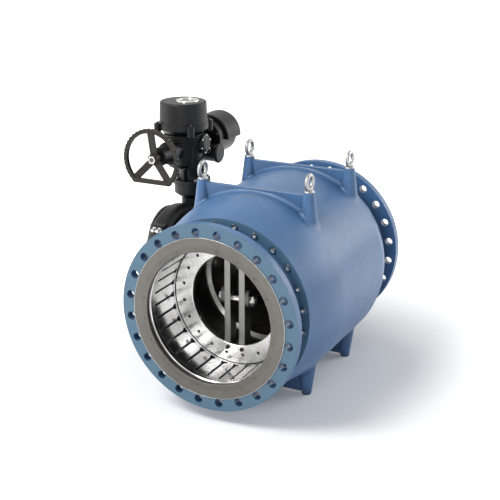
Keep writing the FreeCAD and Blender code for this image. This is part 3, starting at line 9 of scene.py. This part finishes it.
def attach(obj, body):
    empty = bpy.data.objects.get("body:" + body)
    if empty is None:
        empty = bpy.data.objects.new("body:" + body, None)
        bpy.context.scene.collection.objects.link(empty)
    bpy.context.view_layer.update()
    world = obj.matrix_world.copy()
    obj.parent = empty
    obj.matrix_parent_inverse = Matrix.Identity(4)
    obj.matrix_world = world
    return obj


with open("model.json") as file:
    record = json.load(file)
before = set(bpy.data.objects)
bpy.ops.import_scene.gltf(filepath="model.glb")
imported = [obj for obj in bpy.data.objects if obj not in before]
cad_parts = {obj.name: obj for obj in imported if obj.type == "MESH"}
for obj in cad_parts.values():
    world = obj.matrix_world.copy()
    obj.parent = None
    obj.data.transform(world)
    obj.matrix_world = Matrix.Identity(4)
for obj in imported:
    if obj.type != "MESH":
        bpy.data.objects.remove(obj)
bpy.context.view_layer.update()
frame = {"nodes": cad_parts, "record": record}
nodes = frame["nodes"]

# Places in the row frame, in metres
BARREL_R = 0.580
BARREL_Y = (0.540, 1.195)
TAPER_LENGTH = (0.290, 0.275)
TAPER_DROP = (0.049, 0.125)
TAPER_POWER = (2.2, 1.6)
STATION_Y = (0.583, 1.195)
WEB_HALF = 0.016
WEB_TOP = 0.600
FOOT_WEB = -0.608
POST_X, POST_TOP_R, POST_TOP_Z = 0.340, 0.031, 0.620
FOOT_X, FOOT_TOP_R, FOOT_TOP_Z = 0.346, 0.028, 0.624
LEG_ROOT_R, LEG_ROOT_Z = 0.060, 0.400
FILLET_SINK = 0.0006
SHAFT = (0.0, 0.889, 0.0)
WORM = Vector((-0.690, 1.065, 0.0))
COLUMN = Vector((-0.746, 1.069, 0.0))
COLUMN_RIB_Z, COLUMN_RIB_R = 0.634, 0.1165
RIDGE_Z = (0.704, 0.720, 0.736, 0.751)
RIDGE_FOOT_R, RIDGE_TOP_R = 0.1172, 0.1265
FOOT_RIB_Z, FOOT_RIB_R = 0.502, 0.091
SIDE_COVER = Vector((-0.6079, 1.105, 0.688))
SIDE_SCREW_CIRCLE = 0.0555
MOTOR_FLANGE = Vector((-0.746, 1.320, 0.662))
MOTOR_SCREW_CIRCLE = 0.113
BEAD_R = (0.3705, 0.3785)
BEAD_Y = (0.3222, 0.3206)
FLOOR_Z = -0.6245
FLOOR_HALF = 40.0

ORIGIN = Vector((0, 0, 0))
X = Vector((1, 0, 0))
Y = Vector((0, 1, 0))
Z = Vector((0, 0, 1))


# Shader graphs

class Graph:
    """A material's node tree with short calls for the nodes used here."""

    def __init__(self, name):
        self.material = bpy.data.materials.new(name)
        self.material.use_nodes = True
        self.tree = self.material.node_tree
        self.tree.nodes.clear()
        output = self.tree.nodes.new("ShaderNodeOutputMaterial")
        self.shader = self.tree.nodes.new("ShaderNodeBsdfPrincipled")
        self.tree.links.new(self.shader.outputs["BSDF"], output.inputs["Surface"])
        self.place = self.tree.nodes.new("ShaderNodeTexCoord").outputs["Object"]

    def node(self, kind, **settings):
        made = self.tree.nodes.new(kind)
        for key, value in settings.items():
            setattr(made, key, value)
        return made

    def feed(self, socket, value):
        if isinstance(value, bpy.types.NodeSocket):
            self.tree.links.new(value, socket)
        else:
            socket.default_value = value

    def stretched(self, x, y, z):
        mapping = self.node("ShaderNodeMapping")
        self.feed(mapping.inputs["Vector"], self.place)
        self.feed(mapping.inputs["Scale"], (x, y, z))
        return mapping.outputs["Vector"]

    def noise(self, scale, detail=3.0, roughness=0.5, place=None):
        made = self.node("ShaderNodeTexNoise")
        self.feed(made.inputs["Vector"], place or self.place)
        self.feed(made.inputs["Scale"], scale)
        self.feed(made.inputs["Detail"], detail)
        self.feed(made.inputs["Roughness"], roughness)
        return made.outputs["Fac"]

    def math(self, operation, a, b=0.0):
        made = self.node("ShaderNodeMath", operation=operation)
        self.feed(made.inputs[0], a)
        self.feed(made.inputs[1], b)
        return made.outputs[0]

    def remap(self, value, low, high, to_low, to_high):
        made = self.node("ShaderNodeMapRange")
        self.feed(made.inputs["Value"], value)
        self.feed(made.inputs["From Min"], low)
        self.feed(made.inputs["From Max"], high)
        self.feed(made.inputs["To Min"], to_low)
        self.feed(made.inputs["To Max"], to_high)
        return made.outputs["Result"]

    def mix(self, factor, a, b):
        made = self.node("ShaderNodeMix", data_type="RGBA")
        self.feed(made.inputs["Factor"], factor)
        self.feed(made.inputs[6], a)
        self.feed(made.inputs[7], b)
        return made.outputs[2]

    # Ambient occlusion, used below to paint shade into corners and creases.
    def occlusion_shade(self, distance):
        made = self.node("ShaderNodeAmbientOcclusion", samples=8)
        self.feed(made.inputs["Distance"], distance)
        return made.outputs["AO"]

    def radius(self, axis, centre=(0.0, 0.0, 0.0)):
        """Distance from a line along an axis letter through centre."""
        split = self.node("ShaderNodeSeparateXYZ")
        self.feed(split.inputs[0], self.place)
        total = None
        for k, letter in enumerate("XYZ"):
            if letter != axis:
                offset = self.math("SUBTRACT", split.outputs[k], centre[k])
                square = self.math("MULTIPLY", offset, offset)
                total = square if total is None else self.math("ADD", total, square)
        return self.math("SQRT", total)

    def relief(self, height, distance, strength=1.0, edge=0.0):
        """Bump from a height, over a softened edge if edge is above nought."""
        made = self.node("ShaderNodeBump")
        self.feed(made.inputs["Height"], height)
        self.feed(made.inputs["Distance"], distance)
        self.feed(made.inputs["Strength"], strength)
        if edge > 0:
            soft = self.node("ShaderNodeBevel", samples=6)
            self.feed(soft.inputs["Radius"], edge)
            self.feed(made.inputs["Normal"], soft.outputs["Normal"])
        self.feed(self.shader.inputs["Normal"], made.outputs["Normal"])

    def facing(self, direction):
        """One where the surface faces a direction, nought where it turns away."""
        normal = self.node("ShaderNodeNewGeometry").outputs["Normal"]
        dot = self.node("ShaderNodeVectorMath", operation="DOT_PRODUCT")
        self.feed(dot.inputs[0], normal)
        self.feed(dot.inputs[1], direction)
        return self.remap(dot.outputs["Value"], 0.75, 0.98, 0.0, 1.0)

    def finish(self, color, metallic, roughness, coat=0.0, coat_roughness=0.1, gloss=0.5):
        self.feed(self.shader.inputs["Base Color"], color)
        self.feed(self.shader.inputs["Metallic"], metallic)
        self.feed(self.shader.inputs["Roughness"], roughness)
        self.feed(self.shader.inputs["Coat Weight"], coat)
        self.feed(self.shader.inputs["Coat Roughness"], coat_roughness)
        self.feed(self.shader.inputs["Specular IOR Level"], gloss)
        return self.material


def shade(color, factor):
    return (color[0] * factor, color[1] * factor, color[2] * factor, 1.0)


def epoxy(name, color, edge, face=None):
    """Sprayed epoxy over a sand casting: broad unevenness, orange peel, painted shade in the corners and, if
    a face colour is given, a painted greyer sheen on faces turned to -Y.
    """
    g = Graph(name)
    broad = g.noise(5.0, 4.0, 0.55)
    peel = g.noise(230.0, 2.0, 0.4)
    cast = g.noise(34.0, 5.0, 0.6)
    tone = g.mix(g.remap(broad, 0.3, 0.7, 0.0, 1.0), shade(color, 0.90), shade(color, 1.08))
    if face:
        # Painted sheen: faces turned towards -Y take the greyer face colour, which stands in for the
        # reflection of the bright surroundings.
        tone = g.mix(g.facing((0.0, -1.0, 0.0)), tone, shade(face, 1.0))
    # Painted shade: ambient occlusion darkens the corners to 0.4 of the colour.
    corner_shade = g.remap(g.occlusion_shade(0.09), 0.25, 0.95, 0.0, 1.0)
    tone = g.mix(corner_shade, shade(color, 0.40), tone)
    height = g.math("ADD", g.math("MULTIPLY", peel, 0.22), g.math("MULTIPLY", cast, 0.78))
    g.relief(height, 0.0013, 0.5, edge)
    return g.finish(tone, 0.0, g.remap(cast, 0.3, 0.7, 0.38, 0.50), 0.12, 0.24, 0.5)


def wetted_coat(name, color):
    """Dark coat of the flow space, a little rough and stained by water."""
    g = Graph(name)
    stain = g.noise(8.0, 5.0, 0.6)
    cast = g.noise(60.0, 4.0, 0.55)
    tone = g.mix(g.remap(stain, 0.3, 0.7, 0.0, 1.0), shade(color, 0.6), shade(color, 1.3))
    g.relief(cast, 0.0012, 0.5, 0.003)
    return g.finish(tone, 0.0, g.remap(stain, 0.3, 0.7, 0.30, 0.48))


def turned_metal(name, color, axis, centre, pitch, rough, edge, depth=0.00012, metallic=1.0):
    """Lathe-turned metal with fine rings about an axis and faint stains."""
    g = Graph(name)
    ring = g.math("SINE", g.math("MULTIPLY", g.radius(axis, centre), 2 * math.pi / pitch))
    stain = g.noise(11.0, 4.0, 0.6)
    grain = g.noise(420.0, 2.0, 0.5)
    tone = g.mix(g.remap(stain, 0.3, 0.72, 0.0, 1.0), shade(color, 0.86), shade(color, 1.08))
    g.relief(g.math("ADD", ring, g.math("MULTIPLY", grain, 0.8)), depth, 0.8, edge)
    return g.finish(tone, metallic, g.remap(stain, 0.3, 0.7, rough * 0.85, rough * 1.25))


def brushed_metal(name, color, stretch, rough, edge, metallic=1.0, depth=0.00025):
    """Ground metal whose scratches run along the axis with the smallest stretch."""
    g = Graph(name)
    scratch = g.noise(1.0, 3.0, 0.6, g.stretched(*stretch))
    stain = g.noise(14.0, 3.0, 0.55)
    tone = g.mix(g.remap(stain, 0.3, 0.7, 0.0, 1.0), shade(color, 0.88), shade(color, 1.06))
    g.relief(scratch, depth, 0.5, edge)
    return g.finish(tone, metallic, g.remap(scratch, 0.3, 0.7, rough * 0.8, rough * 1.3))


def polished_liner(name, color, rough, edge):
    """Honed stainless liner: fine lines along the pipe, soft waviness, faint water marks and painted shade
    in the creases.
    """
    g = Graph(name)
    line = g.noise(1.0, 2.0, 0.5, g.stretched(420, 9, 420))
    wave = g.noise(7.0, 2.0, 0.4)
    mark = g.noise(9.0, 2.0, 0.5)
    tone = g.mix(g.remap(mark, 0.35, 0.7, 0.0, 1.0), shade(color, 0.94), shade(color, 1.04))
    # Painted shade: ambient occlusion darkens the creases almost to black.
    tone = g.mix(g.remap(g.occlusion_shade(0.012), 0.1, 0.8, 0.0, 1.0), shade(color, 0.12), tone)
    g.relief(g.math("ADD", g.math("MULTIPLY", line, 0.05), wave), 0.0012, 0.5, edge)
    return g.finish(tone, 1.0, g.remap(line, 0.3, 0.7, rough * 0.8, rough * 1.3))


def powder_coat(name, color, rough, edge):
    """Satin powder coat with a fine pebbled skin, rubbed a little smoother in patches, with painted shade in
    its creases.
    """
    g = Graph(name)
    pebble = g.noise(620.0, 2.0, 0.5)
    wave = g.noise(60.0, 3.0, 0.5)
    patch = g.noise(9.0, 4.0, 0.6)
    tone = g.mix(g.remap(patch, 0.3, 0.7, 0.0, 1.0), shade(color, 0.85), shade(color, 1.2))
    # Painted shade: ambient occlusion darkens the creases to 0.35 of the colour.
    tone = g.mix(g.remap(g.occlusion_shade(0.03), 0.2, 0.9, 0.0, 1.0), shade(color, 0.35), tone)
    g.relief(g.math("ADD", pebble, wave), 0.00035, 0.5, edge)
    return g.finish(tone, 0.0, g.remap(patch, 0.3, 0.7, rough * 0.85, rough * 1.15), gloss=0.28)


def forged(name, color, rough, edge):
    """Forged steel with scale marks and a thin zinc bloom."""
    g = Graph(name)
    scale = g.noise(90.0, 5.0, 0.65)
    bloom = g.noise(26.0, 4.0, 0.6)
    tone = g.mix(g.remap(bloom, 0.3, 0.7, 0.0, 1.0), shade(color, 0.75), shade(color, 1.15))
    g.relief(scale, 0.0009, 0.6, edge)
    return g.finish(tone, 0.85, g.remap(scale, 0.3, 0.7, rough * 0.8, rough * 1.3))


def rubber(name):
    g = Graph(name)
    grain = g.noise(500.0, 2.0, 0.5)
    g.relief(grain, 0.0003, 0.6, 0.0006)
    return g.finish(g.mix(grain, (0.012, 0.012, 0.012, 1.0), (0.03, 0.03, 0.03, 1.0)), 0.0, 0.62)


def sight_glass(name):
    g = Graph(name)
    smear = g.noise(40.0, 3.0, 0.5)
    g.relief(g.noise(12.0, 2.0, 0.4), 0.0004, 0.3)
    return g.finish((0.012, 0.013, 0.016, 1.0), 0.0, g.remap(smear, 0.3, 0.7, 0.05, 0.14), 0.6, 0.03)


BLUE = (0.064, 0.155, 0.320)
# Greyer blue painted on the flange's front faces as a sheen from the surroundings, not a paint of its own.
FACE_SHEEN_BLUE = (0.066, 0.142, 0.215)
PIPE = (0.0, 0.0, 0.0)
looks = {
    "epoxy_blue": epoxy("blue epoxy", BLUE, 0.004),
    "inner_coat": wetted_coat("inner coat", (0.100, 0.093, 0.086)),
    "machined_steel": turned_metal("turned flange face", (0.150, 0.142, 0.130), "Y", PIPE, 0.0032, 0.42,
                                   0.0014, 0.0003, 0.8),
    "stainless": turned_metal("stainless", (0.64, 0.64, 0.63), "Y", PIPE, 0.0016, 0.22, 0.0015, 0.00006),
    "bright_screws": brushed_metal("bright fasteners", (0.60, 0.60, 0.59), (300, 300, 900), 0.20, 0.0010),
    "dark_steel": brushed_metal("machined steel", (0.10, 0.10, 0.10), (260, 90, 700), 0.34, 0.0020),
    "black_oxide": brushed_metal("black oxide", (0.022, 0.022, 0.024), (400, 400, 400), 0.38, 0.0010, 0.6),
    "bronze": turned_metal("bearing bronze", (0.60, 0.40, 0.17), "X", SHAFT, 0.0016, 0.34, 0.0010),
    "seal_rubber": rubber("seal rubber"),
    "eyebolt_steel": forged("forged eyebolts", (0.42, 0.42, 0.42), 0.38, 0.0015),
    "charcoal_paint": powder_coat("charcoal coat", (0.0060, 0.0060, 0.0066), 0.40, 0.0024),
    "wheel_paint": powder_coat("handwheel coat", (0.018, 0.016, 0.011), 0.42, 0.0020),
    "display_glass": sight_glass("sight glass"),
}
flange_sheen_look = epoxy("flange epoxy with painted sheen", BLUE, 0.0035, FACE_SHEEN_BLUE)
cage_look = polished_liner("honed cage", (0.70, 0.70, 0.70), 0.14, 0.0014)
ring_look = turned_metal("clamp ring steel", (0.135, 0.126, 0.114), "Y", PIPE, 0.0022, 0.36,
                         0.0012, 0.0002, 0.85)
bar_look = brushed_metal("crosshead bars", (0.20, 0.20, 0.195), (500, 300, 9), 0.30, 0.0016, 1.0, 0.00012)

for entry in frame["record"]["subparts"]:
    node = nodes[entry["node"]]
    node.data.materials.clear()
    node.data.materials.append(looks[entry["material_slot"]])
for name, look in (("slotted_cage", cage_look), ("seat_ring", cage_look), ("clamp_ring", ring_look),
                   ("outlet_section", flange_sheen_look), ("crosshead_bars", bar_look)):
    nodes[name].data.materials[0] = look


# Mesh pieces

def placed(name, data):
    made = bpy.data.objects.new(name, data)
    bpy.context.scene.collection.objects.link(made)
    return made


def mesh_piece(name, points, faces, look, body, smooth=True):
    mesh = bpy.data.meshes.new(name)
    mesh.from_pydata([tuple(p) for p in points], [], faces)
    mesh.validate()
    shell = bmesh.new()
    shell.from_mesh(mesh)
    bmesh.ops.recalc_face_normals(shell, faces=shell.faces)
    shell.to_mesh(mesh)
    shell.free()
    mesh.materials.append(look)
    for polygon in mesh.polygons:
        polygon.use_smooth = smooth
    piece = placed(name, mesh)
    if smooth:
        crisp = piece.modifiers.new("crisp", "EDGE_SPLIT")
        crisp.split_angle = math.radians(38)
    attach(piece, body)
    return piece


def lathe(profile, base, axis, steps=48):
    """Points and faces of a profile of (radius, height) turned about an axis through base."""
    side = axis.orthogonal().normalized()
    other = axis.cross(side)
    points = []
    rings = []
    for radius, height in profile:
        if radius < 1e-6:
            rings.append([len(points)])
            points.append(base + axis * height)
            continue
        row = []
        for k in range(steps):
            angle = 2 * math.pi * k / steps
            row.append(len(points))
            points.append(base + axis * height + (side * math.cos(angle) + other * math.sin(angle)) * radius)
        rings.append(row)
    faces = []
    for low, high in zip(rings, rings[1:]):
        for k in range(steps):
            following = (k + 1) % steps
            if len(low) == 1:
                faces.append((low[0], high[k], high[following]))
            elif len(high) == 1:
                faces.append((low[k], low[following], high[0]))
            else:
                faces.append((low[k], low[following], high[following], high[k]))
    return points, faces


def joined(parts):
    """Several (points, faces) pairs as one."""
    points, faces = [], []
    for some_points, some_faces in parts:
        start = len(points)
        points += some_points
        faces += [tuple(index + start for index in face) for face in some_faces]
    return points, faces


def barrel_radius(y):
    """Outer radius of the barrel at a place along the pipe."""
    front, rear = BARREL_Y
    if y < front:
        return BARREL_R - TAPER_DROP[0] * ((front - y) / TAPER_LENGTH[0]) ** TAPER_POWER[0]
    if y > rear:
        return BARREL_R - TAPER_DROP[1] * ((y - rear) / TAPER_LENGTH[1]) ** TAPER_POWER[1]
    return BARREL_R


def web_fillet(y, side, top):
    """Cast fillet between a cross web and the barrel, on one side of the web."""
    reach = 0.318 if top > 0 else 0.326
    points, faces = [], []
    columns, rows = 48, 8
    for i in range(columns + 1):
        x = -reach + 2 * reach * i / columns
        surface = math.sqrt(BARREL_R ** 2 - x ** 2)
        height = abs(top) - surface
        rise = min(0.026, 0.85 * height)
        normal = Vector((x, 0, surface)).normalized()
        for j in range(rows + 1):
            t = math.pi / 2 * j / rows
            out = WEB_HALF - 0.001 + 0.027 * (1 - math.cos(t))
            local_y = y + side * out
            base_r = barrel_radius(local_y) - FILLET_SINK
            lift = rise * (1 - math.sin(t))
            points.append(Vector((normal.x * (base_r + lift), local_y,
                                  math.copysign(normal.z * (base_r + lift), top))))
    for i in range(columns):
        for j in range(rows):
            a = i * (rows + 1) + j
            faces.append((a, a + 1, a + rows + 2, a + rows + 1))
    return points, faces


def post_fillet(x0, y0, top_radius, top_z, sign):
    """Cast fillet round the root of a lifting post or foot."""
    points, faces = [], []
    turns, rows = 48, 8
    fillet = 0.024
    for i in range(turns):
        angle = 2 * math.pi * i / turns
        dx, dy = math.cos(angle), math.sin(angle)
        for j in range(rows + 1):
            t = math.pi / 2 * j / rows
            guess = 0.045
            for _ in range(3):
                reach = guess + fillet * (1 - math.cos(t)) - 0.001
                x, y = x0 + dx * reach, y0 + dy * reach
                ground = math.sqrt(max(barrel_radius(y) ** 2 - x ** 2, 0.01))
                height = ground + fillet * (1 - math.sin(t))
                share = (height - LEG_ROOT_Z) / (top_z - LEG_ROOT_Z)
                guess = LEG_ROOT_R + (top_radius - LEG_ROOT_R) * share
            points.append(Vector((x, y, sign * (height - FILLET_SINK))))
    for i in range(turns):
        following = (i + 1) % turns
        for j in range(rows):
            a, b = i * (rows + 1) + j, following * (rows + 1) + j
            faces.append((a, a + 1, b + 1, b))
    return points, faces


for number, station in enumerate(STATION_Y):
    strips = []
    for side in (-1, 1):
        strips.append(web_fillet(station, side, WEB_TOP))
        strips.append(web_fillet(station, side, FOOT_WEB))
    for x in (-1, 1):
        strips.append(post_fillet(x * POST_X, station, POST_TOP_R, POST_TOP_Z, 1))
        strips.append(post_fillet(x * FOOT_X, station, FOOT_TOP_R, FOOT_TOP_Z, -1))
    mesh_piece("casting_fillets_%d" % (number + 1), *joined(strips), looks["epoxy_blue"], "casing")


def block(centre, size, tilt=0.0, bevel=0.004):
    """Box with bevelled edges, turned about Z; size is the full x, y, z."""
    half = [part / 2 for part in size]
    points, faces = [], []
    corners = [(half[0] - bevel, half[1]), (half[0], half[1] - bevel), (half[0], bevel - half[1]),
               (half[0] - bevel, -half[1]), (bevel - half[0], -half[1]), (-half[0], bevel - half[1]),
               (-half[0], half[1] - bevel), (bevel - half[0], half[1])]
    levels = [(-half[2], bevel), (bevel - half[2], 0.0), (half[2] - bevel, 0.0), (half[2], bevel)]
    turn = Matrix.Rotation(tilt, 4, "Z")
    for z, inset in levels:
        for x, y in corners:
            local = Vector((x - math.copysign(inset, x), y - math.copysign(inset, y), z))
            points.append(Vector(centre) + turn @ local)
    count = len(corners)
    for level in range(len(levels) - 1):
        for k in range(count):
            a, b = level * count + k, level * count + (k + 1) % count
            faces.append((b, a, a + count, b + count))
    faces.append(tuple(range(count)))
    faces.append(tuple(range(len(points) - 1, len(points) - 1 - count, -1)))
    return points, faces


def hex_head(base, axis, radius, height):
    """Hexagon screw head with a chamfered top and a thin washer face."""
    rim = 1.15 * radius
    washer = [(0.0, 0.0), (rim, 0.0), (rim, 0.0015), (radius, 0.0018)]
    head = [(radius, 0.0), (radius, 0.82 * height), (0.86 * radius, height), (0.0, height)]
    return joined([lathe(washer, base, axis, 24), lathe(head, base, axis, 6)])


def screw_circle(centre, radius, axis, right, up, count, phase, size, height):
    """Hexagon screw heads on a circle about centre, in the plane of right and up."""
    heads = []
    for k in range(count):
        angle = math.radians(360 / count * k + phase)
        place = centre + right * (radius * math.cos(angle)) + up * (radius * math.sin(angle))
        heads.append(hex_head(place, axis, size, height))
    return joined(heads)


def gear_case_shape():
    """Foot drum of the actuator's gear case, and the stacked ridges under its collar."""
    foot = [(0.0, 0.4684), (0.083, 0.4684), (0.083, 0.476), (0.079, 0.480), (0.081, 0.532), (0.089, 0.548),
            (0.0, 0.548)]
    parts = [lathe(foot, WORM, Z, 64)]
    for z in RIDGE_Z:
        ridge = [(RIDGE_FOOT_R, z - 0.0045), (RIDGE_TOP_R - 0.001, z - 0.0030), (RIDGE_TOP_R, z),
                 (RIDGE_TOP_R - 0.001, z + 0.0030), (RIDGE_FOOT_R, z + 0.0045)]
        parts.append(lathe(ridge, COLUMN, Z, 64))
    return joined(parts)


def rib(centre, radius, z, degrees, size, bevel):
    """Cast rib that stands out from an upright axis."""
    angle = math.radians(degrees)
    out = Vector((math.cos(angle), math.sin(angle), 0.0))
    return block(centre + Z * z + out * radius, size, angle, bevel)


def gear_case_ribs():
    parts = []
    for degrees in (-128, -66, -34, 62, 118, 152, -178):
        parts.append(rib(COLUMN, COLUMN_RIB_R, COLUMN_RIB_Z, degrees, (0.016, 0.011, 0.112), 0.003))
    for degrees in (0, 90, 180, 270):
        parts.append(rib(WORM, FOOT_RIB_R, FOOT_RIB_Z, degrees, (0.034, 0.014, 0.066), 0.004))
    return joined(parts)


def facing_rim():
    """Bright chamfer round the steel facing ring."""
    profile = [(0.4648, -0.0036), (0.4652, -0.0046), (0.4664, -0.0046), (0.4674, -0.0030), (0.4674, -0.0008)]
    return lathe(profile, ORIGIN, Y, 160)


def ring_beads():
    """Two fine raised lines on the piston's front ring."""
    foot, top = BEAD_Y
    return joined([lathe([(r - 0.0016, foot), (r - 0.0012, top), (r + 0.0012, top), (r + 0.0016, foot)],
                         ORIGIN, Y, 128) for r in BEAD_R])


mesh_piece("gear_case", *gear_case_shape(), looks["charcoal_paint"], "casing")
mesh_piece("gear_case_ribs", *gear_case_ribs(), looks["charcoal_paint"], "casing", smooth=False)
side_screws = screw_circle(SIDE_COVER, SIDE_SCREW_CIRCLE, X, Y, Z, 6, 20, 0.0055, 0.006)
mesh_piece("side_cover_screws", *side_screws, looks["bright_screws"], "casing")
motor_screws = screw_circle(MOTOR_FLANGE, MOTOR_SCREW_CIRCLE, -Y, X, Z, 8, 22.5, 0.008, 0.008)
mesh_piece("motor_flange_screws", *motor_screws, looks["dark_steel"], "casing")
mesh_piece("facing_ring_rim", *facing_rim(), looks["bright_screws"], "casing")
mesh_piece("piston_ring_beads", *ring_beads(), looks["stainless"], "piston")


# Stage, light and camera

def seen_directly(tree):
    """One for rays from the camera and for mirrored or transmitted ones, nought for the light's own."""
    path = tree.nodes.new("ShaderNodeLightPath")
    total = path.outputs["Is Camera Ray"]
    for name in ("Is Glossy Ray", "Is Transmission Ray"):
        either = tree.nodes.new("ShaderNodeMath")
        either.operation = "MAXIMUM"
        tree.links.new(total, either.inputs[0])
        tree.links.new(path.outputs[name], either.inputs[1])
        total = either.outputs[0]
    return total


def floor_look():
    """Matt pale floor that lifts to plain white away from the valve where it is seen directly."""
    g = Graph("pale floor")
    grain = g.noise(3.0, 2.0, 0.5)
    far = g.remap(g.radius("Z", (0.0, 0.8, 0.0)), 0.9, 2.4, 0.10, 1.0)
    g.feed(g.shader.inputs["Emission Color"], (1.0, 1.0, 1.0, 1.0))
    g.feed(g.shader.inputs["Emission Strength"], g.math("MULTIPLY", far, seen_directly(g.tree)))
    tone = g.mix(grain, shade((0.90, 0.90, 0.90), 0.995), shade((0.90, 0.90, 0.90), 1.0))
    return g.finish(tone, 0.0, 0.9, gloss=0.2)


def add_floor():
    corners = [(x * FLOOR_HALF, y * FLOOR_HALF, FLOOR_Z) for x, y in ((-1, -1), (1, -1), (1, 1), (-1, 1))]
    mesh = bpy.data.meshes.new("floor")
    mesh.from_pydata(corners, [], [(0, 1, 2, 3)])
    mesh.materials.append(floor_look())
    floor = placed("floor", mesh)


def add_area(name, place, target, size, power, color=(1.0, 1.0, 1.0)):
    light = bpy.data.lights.new(name, "AREA")
    light.shape = "RECTANGLE"
    light.size, light.size_y = size
    light.energy = power
    light.color = color
    lamp = placed(name, light)
    turn = (Vector(target) - Vector(place)).to_track_quat("-Z", "Y")
    lamp.matrix_world = Matrix.Translation(place) @ turn.to_matrix().to_4x4()


def add_world():
    """Plain white to the camera, a softer grey sky for the light it gives."""
    world = bpy.data.worlds.new("studio")
    bpy.context.scene.world = world
    world.use_nodes = True
    tree = world.node_tree
    tree.nodes.clear()
    output = tree.nodes.new("ShaderNodeOutputWorld")
    ambient = tree.nodes.new("ShaderNodeBackground")
    ambient.inputs["Color"].default_value = (0.93, 0.96, 1.0, 1.0)
    ambient.inputs["Strength"].default_value = 0.36
    white = tree.nodes.new("ShaderNodeBackground")
    white.inputs["Color"].default_value = (1.0, 1.0, 1.0, 1.0)
    white.inputs["Strength"].default_value = 1.0
    mix = tree.nodes.new("ShaderNodeMixShader")
    tree.links.new(seen_directly(tree), mix.inputs[0])
    tree.links.new(ambient.outputs[0], mix.inputs[1])
    tree.links.new(white.outputs[0], mix.inputs[2])
    tree.links.new(mix.outputs[0], output.inputs["Surface"])


def add_camera():
    data = bpy.data.cameras.new("camera")
    data.sensor_width = 36.0
    data.lens = 77.22
    data.clip_end = 200.0
    camera = placed("camera", data)
    camera.location = (2.6324, -4.7416, 2.2461)
    camera.rotation_euler = (math.radians(90 - 18.789), 0.0, math.radians(26.576))
    bpy.context.scene.camera = camera


add_floor()
add_world()
add_area("key", (-2.2, -3.2, 5.2), (0.0, 0.6, 0.0), (2.6, 2.6), 340.0, (1.0, 0.985, 0.96))
add_area("rear right", (5.0, 6.5, 2.6), (0.3, 0.9, 0.1), (5.0, 4.0), 220.0)
add_area("left", (-5.5, -1.0, 2.0), (-0.7, 1.0, 0.6), (2.0, 3.0), 90.0, (1.0, 0.96, 0.90))
add_area("front", (1.4, -6.0, 2.4), (0.0, 0.2, 0.0), (1.8, 1.8), 70.0)
add_camera()
bpy.context.scene.view_settings.view_transform = "Standard"
